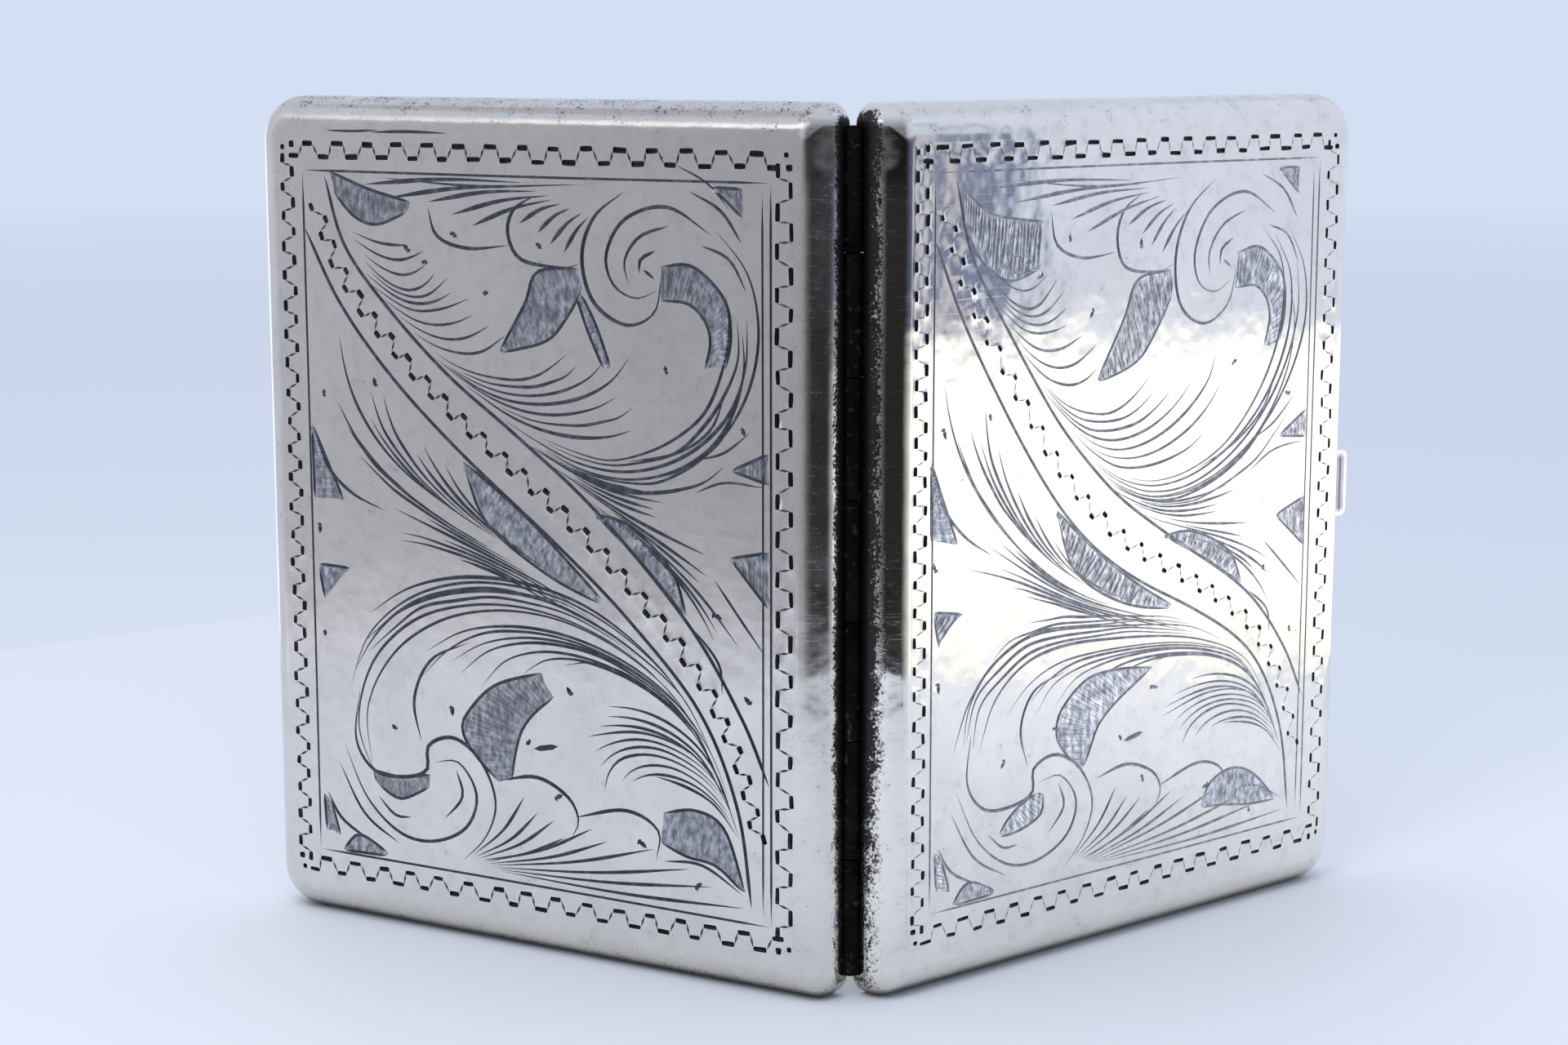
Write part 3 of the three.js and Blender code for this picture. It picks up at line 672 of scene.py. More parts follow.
def carve(piece, cutters):
    """Cuts the cutters out of a piece for good, and deletes them."""
    for cutter in cutters:
        modifier = piece.modifiers.new("cut", "BOOLEAN")
        modifier.operation = "DIFFERENCE"
        modifier.solver = "EXACT"
        modifier.object = cutter
    apply_modifiers(piece)
    for cutter in cutters:
        bpy.data.objects.remove(cutter)


def apply_modifiers(piece):
    bpy.context.view_layer.update()
    shown = piece.evaluated_get(bpy.context.evaluated_depsgraph_get())
    finished = bpy.data.meshes.new_from_object(shown)
    piece.modifiers.clear()
    piece.data = finished


def shell_rings():
    """The tray's section from the edge of its engraved flat, over the rim, to the floor."""
    bend, lip = 12, 0.12
    centre = DEPTH - EDGE_RADIUS
    rings = []
    for step in range(bend + 1):
        angle = math.pi / 2 * (1 - step / bend)
        inset = EDGE_RADIUS - EDGE_RADIUS * math.cos(angle)
        rings.append(leaf_ring(inset, centre + EDGE_RADIUS * math.sin(angle)))
    for inset, w in ((0, lip), (lip * 0.3, lip * 0.3), (lip, 0),
                     (WALL - lip, 0), (WALL - lip * 0.3, lip * 0.3), (WALL, lip)):
        rings.append(leaf_ring(inset, RIM_GAP + w))
    inner = EDGE_RADIUS - WALL
    for step in range(bend + 1):
        angle = math.pi / 2 * step / bend
        rings.append(leaf_ring(EDGE_RADIUS - inner * math.cos(angle), centre + inner * math.sin(angle)))
    return rings


def block(name, u, w, z):
    """A plain box between pairs of limits, used only to cut with."""
    mesh = bmesh.new()
    bmesh.ops.create_cube(mesh, size=1)
    for vert in mesh.verts:
        vert.co = [low + (high - low) * (place + 0.5) for (low, high), place in zip((u, w, z), vert.co)]
    return to_object(mesh, name)


def upright_rod(name, u, w, radius, low, high, sides=64):
    mesh = loft([[(u + radius * math.cos(a), w + radius * math.sin(a), z)
                  for a in np.linspace(0, 2 * math.pi, sides, endpoint=False)] for z in (low, high)])
    return to_object(mesh, name)


HINGE_LOW, HINGE_HIGH = 2.5, 92.5
GROOVE_RADIUS = 1.33
GROOVE_END_GAP = 0.03
SLOT = ((73.02, 76.0), (0.95, 3.05), (44.4, 52.6))


def make_shell(leaf, cuts, patches, metals):
    """The tray with its engraved flat, in place of the CAD shell."""
    rings = shell_rings()
    rim = len(rings) // 2 + 3
    body = to_object(loft(rings, inside_from=rim, inside=INSIDE), f"{leaf.name}_tray_engraved")
    for material in (*metals, DEEP_DASHES, GILT_WASH):
        body.data.materials.append(material)
    groove = (HINGE_LOW - GROOVE_END_GAP, HINGE_HIGH + GROOVE_END_GAP)
    cutters = [upright_rod("groove", 0, 0, GROOVE_RADIUS, *groove)]
    if leaf is FRONT:
        cutters.append(block("slot", *SLOT))
    carve(body, cutters)
    mesh = bmesh.new()
    mesh.from_mesh(body.data)
    flat = [face for face in mesh.faces if all(abs(vert.co.y - DEPTH) < 1e-5 for vert in face.verts)]
    bmesh.ops.delete(mesh, geom=flat, context="FACES_ONLY")
    edge = [vert for vert in mesh.verts if abs(vert.co.y - DEPTH) < 1e-5]
    verts, triangles, tones = engraved_face(cuts, patches)
    new = [mesh.verts.new(place) for place in verts]
    engraved = []
    for triangle, tone in zip(triangles.tolist(), tones.tolist()):
        face = mesh.faces.new([new[k] for k in triangle])
        face.material_index = tone
        engraved.append(face)
    outline = edge + new[:len(edge) * 2]
    bmesh.ops.remove_doubles(mesh, verts=outline, dist=1e-4)
    bmesh.ops.recalc_face_normals(mesh, faces=mesh.faces)
    mark_cut_edges(engraved)
    mesh.to_mesh(body.data)
    mesh.free()
    settle(body, leaf, math.radians(14), leaf.body)
    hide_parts(f"{leaf.name}_shell")


def mark_cut_edges(engraved):
    """Sharp edges where a cut begins, so that the flat between cuts is shaded flat."""
    inside_edges = {edge for face in engraved for edge in face.edges}
    level = {face: all(abs(vert.co.y - DEPTH) < 1e-4 for vert in face.verts) for face in engraved}
    for edge in inside_edges:
        states = [level.get(face) for face in edge.link_faces]
        if None not in states and len(set(states)) > 1:
            edge.smooth = False


def settle(piece, leaf, sharp_angle, body):
    """Keeps the leaf millimetres for the materials, and puts the piece in the shared frame."""
    data = piece.data
    places = np.zeros(len(data.vertices) * 3, np.float32)
    data.vertices.foreach_get("co", places)
    marks = data.attributes.new("leaf_mm", "FLOAT_VECTOR", "POINT")
    marks.data.foreach_set("vector", places)
    data.transform(leaf.matrix())
    if leaf.matrix().determinant() < 0:
        data.flip_normals()
    for polygon in data.polygons:
        polygon.use_smooth = True
    marked = [edge.index for edge in data.edges if edge.use_edge_sharp]
    data.set_sharp_from_angle(angle=sharp_angle)
    for index in marked:
        data.edges[index].use_edge_sharp = True
    if body:
        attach(piece, body)


# ---- materials ---------------------------------------------------------------


class Recipe:
    """A metal material, built up from nodes that read the piece's own millimetres."""

    def __init__(self, name):
        self.material = bpy.data.materials.new(name)
        self.material.use_nodes = True
        self.tree = self.material.node_tree
        self.shader = self.tree.nodes["Principled BSDF"]
        self.shader.inputs["Metallic"].default_value = 1.0
        place = self.node("Attribute")
        place.attribute_name = "leaf_mm"
        self.place = place.outputs["Vector"]
        apart = self.node("SeparateXYZ")
        self.join(self.place, apart.inputs[0])
        self.u, self.w, self.z = apart.outputs

    def node(self, kind):
        return self.tree.nodes.new("ShaderNode" + kind)

    def join(self, value, socket):
        if isinstance(value, bpy.types.NodeSocket):
            self.tree.links.new(value, socket)
        else:
            socket.default_value = value

    def math(self, operation, a, b=0.0, clamp=False):
        node = self.node("Math")
        node.operation = operation
        node.use_clamp = clamp
        self.join(a, node.inputs[0])
        self.join(b, node.inputs[1])
        return node.outputs[0]

    def noise(self, scale, detail, rough, stretch=(1, 1, 1), turn=0.0):
        """Noise with about `scale` cells to the millimetre, drawn out along one way by stretch."""
        mapping = self.node("Mapping")
        mapping.inputs["Rotation"].default_value = (0, turn, 0)
        mapping.inputs["Scale"].default_value = stretch
        self.join(self.place, mapping.inputs["Vector"])
        node = self.node("TexNoise")
        self.join(mapping.outputs[0], node.inputs["Vector"])
        node.inputs["Scale"].default_value = scale
        node.inputs["Detail"].default_value = detail
        node.inputs["Roughness"].default_value = rough
        return node.outputs[0]

    def fade(self, value, start, end, low=0.0, high=1.0):
        """Low up to start, high from end on, and straight between them."""
        node = self.node("MapRange")
        self.join(value, node.inputs["Value"])
        for socket, number in zip(("From Min", "From Max", "To Min", "To Max"), (start, end, low, high)):
            node.inputs[socket].default_value = number
        return node.outputs[0]

    def mix(self, share, a, b):
        node = self.node("Mix")
        node.data_type = "RGBA"
        self.join(share, node.inputs[0])
        for value, socket in ((a, node.inputs[6]), (b, node.inputs[7])):
            self.join(value if isinstance(value, bpy.types.NodeSocket) else (*value, 1), socket)
        return node.outputs[2]

    def scratches(self, count=3, seed_turn=0.4):
        """Fine hairlines at a few angles, 1 on a line and 0 elsewhere."""
        lines = None
        for index in range(count):
            turn = seed_turn + index * 1.13
            hairs = self.noise(1.0, 1, 0.4, (0.05, 1, 5.0), turn)
            hairs = self.fade(hairs, 0.685, 0.72)
            lines = hairs if lines is None else self.math("MAXIMUM", lines, hairs)
        return lines

    def bump(self, *layers):
        """Chained bumps: pairs of (height from 0 to 1, how many millimetres that is)."""
        normal = None
        for height, millimetres in layers:
            node = self.node("Bump")
            node.inputs["Strength"].default_value = 1
            node.inputs["Distance"].default_value = millimetres * MM
            self.join(height, node.inputs["Height"])
            if normal is not None:
                self.join(normal, node.inputs["Normal"])
            normal = node.outputs[0]
        self.join(normal, self.shader.inputs["Normal"])

    def finish(self, color, roughness):
        self.join(color if isinstance(color, bpy.types.NodeSocket) else (*color, 1),
                  self.shader.inputs["Base Color"])
        self.join(roughness, self.shader.inputs["Roughness"])
        return self.material


SHADE_AT_GRAZING = (0.05, 0.05, 0.05, 1)  # grazing reflections tinted near black: painted shade that keeps the hinge and pin dark in the hinge's shadow


def cover_silver(name, spine_start, spine_end, shine, grime, bright):
    """Worn polished silver: soft marks, pits and hairlines, and tarnish along the spine and edges.

    The spine's tarnish is rubbed thinner toward its foot, and painted shadow darkens the lower edge, brown
    and then near black where it meets the floor."""
    made = Recipe(name)
    cloud = made.noise(0.12, 4, 0.6)
    grain = made.noise(6.0, 3, 0.7)
    blotch = made.noise(0.55, 5, 0.65)
    speck = made.noise(3.2, 2, 0.6)
    spine = made.fade(made.u, spine_start, spine_end, 1.0, 0.0)
    spine = made.math("MULTIPLY", spine, made.fade(made.z, 8.0, 30.0, 0.45, 1.0))
    edge_top = made.fade(made.z, 91.8, 95.2)
    edge_low = made.fade(made.z, 2.4, 0.2)
    edges = made.math("MAXIMUM", edge_top, edge_low)
    near = made.math("MAXIMUM", spine, made.math("MULTIPLY", edges, grime))
    speckle = made.math("ADD", made.math("MULTIPLY", speck, 0.6), made.math("MULTIPLY", blotch, 0.4))
    worn = made.math("ADD", made.math("MULTIPLY", near, 0.36), speckle)
    tarnish = made.fade(worn, 0.62, 0.74)
    pits = made.fade(made.math("ADD", speck, made.math("MULTIPLY", cloud, 0.3)), 0.86, 0.92)
    dirt = made.math("MAXIMUM", tarnish, made.math("MULTIPLY", pits, 2.5 * grime), clamp=True)
    light, deep = ([part * bright for part in tone] for tone in ((0.88, 0.845, 0.785), (0.81, 0.775, 0.72)))
    clean = made.mix(made.fade(cloud, 0.35, 0.7), light, deep)
    dulled = made.mix(made.math("MULTIPLY", made.fade(blotch, 0.5, 0.72), 0.35), clean, (0.52, 0.51, 0.52))
    # darker and brownish at the top of the spine, beside the hinge's top end
    darker_spine_top = made.math("MULTIPLY", made.fade(made.z, 85.5, 88.2), made.fade(made.z, 93.6, 92.4))
    darker_spine_top = made.math("MULTIPLY", darker_spine_top, made.fade(made.u, 2.7, 3.3, 0.85, 0.0))
    color = made.mix(darker_spine_top, dulled, (0.2, 0.17, 0.155))
    # painted shade: the lower bullnose goes brown toward the floor, for the shadowed floor that it mirrors
    color = made.mix(made.fade(made.z, 3.2, 1.3, 0.0, 0.35), color, (0.42, 0.36, 0.31))
    color = made.mix(dirt, color, (0.045, 0.04, 0.04))
    # painted shadow: near black along the very foot of the cover, where it stands on the floor
    color = made.mix(made.fade(made.z, 1.35, 0.55, 0.0, 0.85), color, (0.07, 0.055, 0.045))
    lines = made.scratches()
    rough = made.fade(cloud, 0.3, 0.75, shine, shine * 1.8)
    rough = made.math("ADD", rough, made.math("MULTIPLY", lines, 0.06))
    rough = made.math("ADD", rough, made.math("MULTIPLY", dirt, 0.3), clamp=True)
    waves = made.noise(0.16, 2, 0.5)
    ripple = made.noise(0.55, 1, 0.5)
    made.bump((waves, 0.11), (ripple, 0.022), (grain, 0.0002), (lines, -0.0005), (dirt, -0.004))
    return made.finish(color, rough)


def filled_cuts(name, tarnish):
    """Tarnish that fills the graver's cuts, rubbed bright here and there."""
    made = Recipe(name)
    patches = made.noise(0.8, 3, 0.6)
    grain = made.noise(9.0, 2, 0.6)
    rubbed = made.fade(patches, 0.45, 0.8, 0.0, 0.6)
    color = made.mix(rubbed, tarnish, tuple(3 * part for part in tarnish))
    made.bump((grain, 0.008))
    return made.finish(color, made.fade(patches, 0.3, 0.7, 0.5, 0.34))


def shaded_cuts(name, level):
    """The grey of patches made of many shallow cuts, painted in bright and dull streaks for the light and
    shade on the cuts' sides.
    """
    made = Recipe(name)
    streaks = made.noise(1.6, 3, 0.6, (1.0, 1.0, 0.5))
    patches = made.noise(0.5, 2, 0.5)
    grain = made.noise(8.0, 2, 0.6)
    # painted light: bright and dull streaks stand for the light and shade on the sides of the shallow cuts
    color = made.mix(made.fade(streaks, 0.38, 0.62), (0.4 * level, 0.41 * level, 0.45 * level),
                     (1.08 * level, 1.08 * level, 1.12 * level))
    dull = made.fade(patches, 0.45, 0.7, 0.0, 0.45)
    color = made.mix(dull, color, (0.3 * level, 0.3 * level, 0.34 * level))
    made.bump((streaks, 0.03), (grain, 0.006))
    return made.finish(color, made.fade(streaks, 0.3, 0.7, 0.42, 0.3))


def gilt_wash():
    """The inside of the trays: silver under a thin, rubbed wash of gold, brushed along z."""
    made = Recipe("gilt_washed_silver")
    cloud = made.noise(0.09, 4, 0.6)
    brushed = made.noise(3.0, 3, 0.6, (1.0, 1.0, 0.06))
    specks = made.noise(1.6, 3, 0.6)
    rubbed = made.fade(cloud, 0.42, 0.66)
    color = made.mix(rubbed, (0.86, 0.70, 0.42), (0.86, 0.80, 0.68))
    marks = made.fade(specks, 0.7, 0.8, 0.0, 0.7)
    color = made.mix(marks, color, (0.30, 0.22, 0.14))
    lines = made.scratches(3, 0.1)
    rough = made.math("ADD", made.fade(brushed, 0.3, 0.7, 0.24, 0.34), made.math("MULTIPLY", lines, 0.1))
    made.bump((brushed, 0.004), (cloud, 0.03), (lines, -0.002), (marks, -0.004))
    return made.finish(color, rough)


def plain_silver():
    """The rim wires and the catch: silver polished by fingers, with grime in its low places."""
    made = Recipe("polished_silver_wire")
    cloud = made.noise(0.25, 4, 0.6)
    specks = made.noise(2.4, 3, 0.65)
    drawn = made.noise(5.0, 2, 0.5, (1.0, 1.0, 0.05))
    lines = made.scratches(2, 0.9)
    dirt = made.fade(specks, 0.66, 0.76, 0.0, 0.8)
    color = made.mix(made.fade(cloud, 0.4, 0.65), (0.90, 0.885, 0.86), (0.74, 0.73, 0.73))
    color = made.mix(dirt, color, (0.10, 0.09, 0.085))
    rough = made.math("ADD", made.fade(cloud, 0.3, 0.7, 0.16, 0.27), made.math("MULTIPLY", lines, 0.12))
    made.bump((cloud, 0.02), (drawn, 0.002), (lines, -0.0015), (dirt, -0.004))
    return made.finish(color, rough)


def tarnished_silver():
    """The hinge: silver nearly black from tarnish, with painted shade for the shadow it lies in between the
    leaves; browner in patches, rubbed lighter on its high side.
    """
    made = Recipe("black_tarnished_silver")
    cloud = made.noise(0.3, 4, 0.6)
    crust = made.noise(4.0, 4, 0.7)
    rub = made.fade(made.noise(1.1, 3, 0.6), 0.60, 0.76)
    # nearly black: tarnish, and painted shade for the hinge's place in the shadow between the leaves
    color = made.mix(made.fade(cloud, 0.35, 0.65), (0.007, 0.007, 0.007), (0.018, 0.015, 0.012))
    color = made.mix(made.math("MULTIPLY", rub, 0.22), color, (0.42, 0.40, 0.38))
    top_end = made.fade(made.z, 92.3, 92.45, 0.0, 0.5)
    rough = made.math("ADD", made.fade(crust, 0.3, 0.7, 0.4, 0.62), top_end, clamp=True)
    made.bump((crust, 0.012), (cloud, 0.02))
    made.shader.inputs["Specular Tint"].default_value = SHADE_AT_GRAZING
    return made.finish(color, rough)


def gilt_silver():
    """The bows and lugs: a gold wash, rubbed through to silver where cards slide."""
    made = Recipe("gilt_silver")
    cloud = made.noise(0.2, 4, 0.6)
    drawn = made.noise(4.0, 2, 0.5, (1.0, 1.0, 0.08))
    lines = made.scratches(2, 0.2)
    worn = made.fade(cloud, 0.5, 0.7)
    specks = made.fade(made.noise(2.2, 3, 0.6), 0.68, 0.78, 0.0, 0.6)
    color = made.mix(worn, (0.89, 0.70, 0.38), (0.88, 0.82, 0.70))
    color = made.mix(specks, color, (0.24, 0.16, 0.09))
    rough = made.math("ADD", made.fade(cloud, 0.3, 0.7, 0.17, 0.28), made.math("MULTIPLY", lines, 0.1))
    made.bump((cloud, 0.015), (drawn, 0.002), (lines, -0.0015))
    return made.finish(color, rough)


def spring_steel():
    """Drawn steel wire and strip, with draw lines along it and a few brown specks of rust."""
    made = Recipe("spring_steel")
    cloud = made.noise(0.4, 3, 0.6)
    drawn = made.noise(7.0, 2, 0.6, (1.0, 1.0, 0.1))
    rust = made.fade(made.noise(1.8, 4, 0.7), 0.66, 0.74, 0.0, 0.85)
    color = made.mix(made.fade(cloud, 0.35, 0.65), (0.58, 0.59, 0.61), (0.44, 0.44, 0.46))
    color = made.mix(rust, color, (0.17, 0.075, 0.035))
    rough = made.math("ADD", made.fade(drawn, 0.3, 0.7, 0.2, 0.34), made.math("MULTIPLY", rust, 0.35))
    made.bump((drawn, 0.003), (rust, 0.006))
    return made.finish(color, rough)


def pin_steel():
    """The pin: steel gone brown and dull, darkened near black as painted shade for its ends in the hinge's
    shadow; brighter only in small rubbed spots.
    """
    made = Recipe("dull_pin_steel")
    cloud = made.noise(0.8, 3, 0.6)
    rub = made.fade(made.noise(2.4, 3, 0.6), 0.62, 0.76, 0.0, 0.5)
    # near black: partly painted shade, so that the pin's ends stay dark in the hinge's shadow
    color = made.mix(made.fade(cloud, 0.35, 0.65), (0.02, 0.018, 0.017), (0.05, 0.04, 0.032))
    color = made.mix(rub, color, (0.16, 0.15, 0.14))
    made.bump((cloud, 0.01))
    made.shader.inputs["Specular Tint"].default_value = SHADE_AT_GRAZING
    return made.finish(color, made.fade(cloud, 0.3, 0.7, 0.6, 0.9))


def button_silver():
    """The thumb button: its rim bright silver, the middle of its faces painted violet-grey as shade."""
    made = Recipe("thumbed_silver")
    cloud = made.noise(0.6, 3, 0.6)
    grain = made.noise(5.0, 2, 0.6)
    from_low = made.fade(made.z, 44.8, 45.5)
    from_high = made.fade(made.z, 52.2, 51.5)
    from_end = made.fade(made.u, 76.9, 76.4)
    face = made.math("MULTIPLY", made.math("MULTIPLY", from_low, from_high), from_end)
    line = made.fade(made.math("ABSOLUTE", made.math("SUBTRACT", made.u, 75.9)), 0.1, 0.16, 1.0, 0.0)
    # painted shade: the middle of the faces is darkened violet-grey, with a dark line across it, so that the
    # rim shows as a bright outline
    color = made.mix(made.math("MULTIPLY", face, 0.9), (0.86, 0.86, 0.88), (0.36, 0.35, 0.42))
    color = made.mix(made.math("MULTIPLY", line, face), color, (0.12, 0.11, 0.14))
    made.bump((cloud, 0.02), (grain, 0.003))
    return made.finish(color, made.fade(cloud, 0.3, 0.7, 0.3, 0.44))


REAR_SILVER = cover_silver("worn_silver_rear", 0.3, 0.75, 0.12, 0.32, 0.87)
FRONT_SILVER = cover_silver("worn_silver_front", 0.35, 1.35, 0.07, 0.12, 1.0)
REAR_LINES = filled_cuts("tarnish_in_rear_lines", (0.075, 0.078, 0.09))
# the front's lines hold the same tarnish as the rear's, painted lighter for the glare of the brighter light
# on the front cover
FRONT_LINES_PAINTED_GLARE = filled_cuts("tarnish_in_front_lines", (0.25, 0.25, 0.27))
DEEP_DASHES = filled_cuts("tarnish_in_dashes", (0.03, 0.03, 0.034))
# the two levels differ as painted light: the front's patches lighter for the brighter light on its cover,
# the rear's darker for the dimmer light on its
REAR_SHADED = shaded_cuts("grey_rear_patches", 0.5)
FRONT_SHADED_PAINTED_LIGHT = shaded_cuts("grey_front_patches", 0.8)
GILT_WASH = gilt_wash()
PLAIN_SILVER = plain_silver()
HINGE_TARNISH_AND_SHADE = tarnished_silver()
GILT = gilt_silver()
STEEL = spring_steel()
PIN_STEEL = pin_steel()
BUTTON_SILVER = button_silver()

# ---- the two covers ---------------------------------------------------------


def as_drawn(line):
    return line


def bowed(line):
    """The front cover's design hangs lower in the middle than the rear cover's."""
    centre, reach = np.array([31.0, 45.0]), 17.0
    share = np.exp(-((line - centre) ** 2).sum(1) / (2 * reach * reach))[:, None]
    return line + share * np.array([-3.6, -6.4])


def on_leaf(line, origin, direction):
    """From frame-line millimetres to the leaf's u and z."""
    return np.column_stack([origin[0] + direction * line[:, 0], origin[1] + line[:, 1]])


def engraved_shell(leaf, cover, origin, direction, metals):
    cuts = [(on_leaf(line, origin, direction), half, tone) for line, half, tone in cover.cuts]
    patches = [on_leaf(outline, origin, direction) for outline in cover.patches]
    make_shell(leaf, cuts, patches, metals)


rear_cover = draw_cover(3, as_drawn, False)
rear_cover.cut([(3.4, 83.5), (7, 83.45), (11, 83.6)], 0.2, 0.3, 0.3, bent=False)
rear_cover.cut([(9.6, 83.35), (14.5, 83.5), (20.4, 83.4)], 0.26, 0.3, 0.4, bent=False)
rear_cover.cut([(49.6, 80.6), (53.4, 78.8), (56.2, 76)], 0.16, bent=False)
draw_border(rear_cover, {"left": 2.2, "right": 1.6, "top": 2.3, "bottom": 1.85},
            {"left": 1.66, "right": 2.1, "top": 2.1, "bottom": 2.0}, 1.7)
front_cover = draw_cover(8, bowed, True)
draw_border(front_cover, {"left": 1.8, "right": 2.4, "top": 1.9, "bottom": 2.2},
            {"left": 1.5, "right": 1.65, "top": 1.85, "bottom": 1.9}, 1.15, 0.85, 0.13)

# each frame line's lower left corner on its leaf, and which way the design runs from it
engraved_shell(REAR, rear_cover, (67.85, 7.8), -1, (REAR_SILVER, REAR_LINES, REAR_SHADED))
engraved_shell(FRONT, front_cover, (6.9, 8.8), 1, (FRONT_SILVER, FRONT_LINES_PAINTED_GLARE, FRONT_SHADED_PAINTED_LIGHT))

# ---- small parts ---------------------------------------------------------------

BORE, PIN_RADIUS = 0.7, 0.62
KNUCKLE_RADIUS = 1.25
PIVOT_U, PIVOT_W = 8.0, 2.95
RIVET_W = 1.35
ROD_RADIUS = 0.55


def turned(name, axis_u, axis_w, profile, sides=64, along_u=False):
    """A lathe-turned bar: pairs of (radius, place along it), upright or along u."""
    rings = []
    for radius, place in profile:
        ring = []
        for angle in np.linspace(0, 2 * math.pi, sides, endpoint=False):
            a, b = radius * math.cos(angle), radius * math.sin(angle)
            ring.append((place, axis_w + a, axis_u + b) if along_u else (axis_u + a, axis_w + b, place))
        rings.append(ring)
    return to_object(loft(rings), name)


def domed_bar(radius, low, high):
    """The profile of a bar from low to high with domed ends."""
    dome = 0.06
    return rounded_bar(radius, low + dome, high - dome, 0.12, dome)


def rounded_bar(radius, low, high, soft, dome=0.0):
    """The profile of a bar whose ends are rounded over, or domed."""
    profile = []
    for step in range(5):
        angle = math.pi / 2 * step / 4
        profile.append((radius - soft + soft * math.sin(angle), low + soft - soft * math.cos(angle)))
    middle = profile + [(r, high - (z - low)) for r, z in reversed(profile)]
    if dome:
        middle = [(middle[0][0] * 0.5, low - dome)] + middle + [(middle[-1][0] * 0.5, high + dome)]
    return middle


def tube(name, path, radius, sides=14):
    """A round wire swept along a path, without twist, with rounded tips."""
    path = [Vector(point) for point in path]
    heads = [(path[1] - path[0]).normalized()]
    heads += [(after - before).normalized() for before, after in zip(path, path[2:])]
    heads.append((path[-1] - path[-2]).normalized())
    tip = [(-0.9, 0.35), (-0.6, 0.8), (0, 1)]  # how far along and how wide, in radii
    side = heads[0].orthogonal().normalized()
    rings = []
    for index, (point, head) in enumerate(zip(path, heads)):
        side = (side - head * side.dot(head)).normalized()
        up = head.cross(side)
        shape = [(0, 1)]
        if index == 0:
            shape = tip
        if index == len(path) - 1:
            shape = [(-along, wide) for along, wide in reversed(tip)]
        for along, wide in shape:
            centre, reach = point + head * (along * radius), wide * radius
            rings.append([centre + (side * math.cos(a) + up * math.sin(a)) * reach
                          for a in np.linspace(0, 2 * math.pi, sides, endpoint=False)])
    return to_object(loft(rings), name)


def refined(node, name, leaf, bevel, segments=3):
    """A CAD node's own shape with its flats joined up and its edges rounded over."""
    source = bpy.data.objects[node]
    mesh = bmesh.new()
    mesh.from_mesh(source.data)
    mesh.transform(leaf.matrix().inverted() @ source.matrix_world)
    bmesh.ops.remove_doubles(mesh, verts=mesh.verts, dist=1e-4)
    bmesh.ops.recalc_face_normals(mesh, faces=mesh.faces)
    bmesh.ops.dissolve_limit(mesh, angle_limit=math.radians(1), verts=mesh.verts, edges=mesh.edges)
    piece = to_object(mesh, name)
    modifier = piece.modifiers.new("soft", "BEVEL")
    modifier.width = bevel
    modifier.segments = segments
    modifier.limit_method = "ANGLE"
    modifier.angle_limit = math.radians(40)
    apply_modifiers(piece)
    return piece


def place(piece, leaf, body, node, material, slot, sharp=35):
    """Finishes a piece: its metal, its place, its body, and the node that it stands for."""
    piece.data.materials.clear()
    piece.data.materials.append(material)
    settle(piece, leaf, math.radians(sharp), body)
    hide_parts(node)


def knuckle(name, box):
    """A rolled hinge knuckle: a tube with softened ends, its seam pressed in along the back."""
    low, high = box[0].z / MM, box[1].z / MM
    soft = 0.14
    outer = rounded_bar(KNUCKLE_RADIUS, low, high, soft)
    profile = [(BORE, low + 0.02)] + outer + [(BORE, high - 0.02)]
    rings = []
    for radius, z in profile:
        ring = []
        for angle in np.linspace(0, 2 * math.pi, 96, endpoint=False):
            seam = 0.06 * math.exp(-((angle - 1.5 * math.pi) / 0.09) ** 2) if radius > BORE else 0
            ring.append(((radius - seam) * math.cos(angle), (radius - seam) * math.sin(angle), z))
        rings.append(ring)
    mesh = bmesh.new()
    rows = [[mesh.verts.new(point) for point in ring] for ring in rings]
    for row, above in zip(rows, rows[1:] + rows[:1]):
        for k in range(len(row)):
            following = (k + 1) % len(row)
            mesh.faces.new((row[k], row[following], above[following], above[k]))
    bmesh.ops.recalc_face_normals(mesh, faces=mesh.faces)
    return to_object(mesh, name)


def hinge_parts():
    for leaf, count in ((REAR, 4), (FRONT, 3)):
        for index in range(1, count + 1):
            node = f"{leaf.name}_knuckle_{index}"
            piece = knuckle(f"{node}_rolled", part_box(node))
            place(piece, leaf, leaf.body, node, HINGE_TARNISH_AND_SHADE, "tarnished_silver")
        node = f"{leaf.name}_hinge_bearer"
        bearer = refined(node, f"{node}_soldered", leaf, 0.12)
        place(bearer, leaf, leaf.body, node, HINGE_TARNISH_AND_SHADE, "tarnished_silver")
    low, high = (corner.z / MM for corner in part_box("hinge_pin"))
    pin = turned("hinge_pin_riveted", 0, 0, domed_bar(PIN_RADIUS, low, high))
    place(pin, REAR, REAR.body, "hinge_pin", PIN_STEEL, "steel")


def spring_path(upper):
    """The line of a torsion spring: a leg on the bow's arm, the coil, a leg on the tray's floor."""
    coil, turns, steps = 0.95, 5.5, 24
    bottom, top = 18.25, 21.2
    arm_w, arm_z = 3.32, 16.4
    coil_w = PIVOT_W - coil
    leg = [(PIVOT_U + 9, arm_w, arm_z), (PIVOT_U + 6, arm_w, arm_z),
           (PIVOT_U + 4, (arm_w + coil_w) / 2 + 0.2, arm_z + 0.8), (PIVOT_U + 2, coil_w + 0.3, bottom - 0.1)]
    count = int(turns * steps)
    spiral = []
    for step in range(count + 1):
        angle = -math.pi / 2 - step / steps * 2 * math.pi
        spiral.append((PIVOT_U + coil * math.cos(angle), PIVOT_W + coil * math.sin(angle),
                       bottom + step / count * (top - bottom)))
    path = curve_through(leg + spiral[::6] + [(PIVOT_U + 2, PIVOT_W + coil, top)], 5)
    if upper:
        path = [(u, w, HEIGHT - z) for u, w, z in path]
    return path


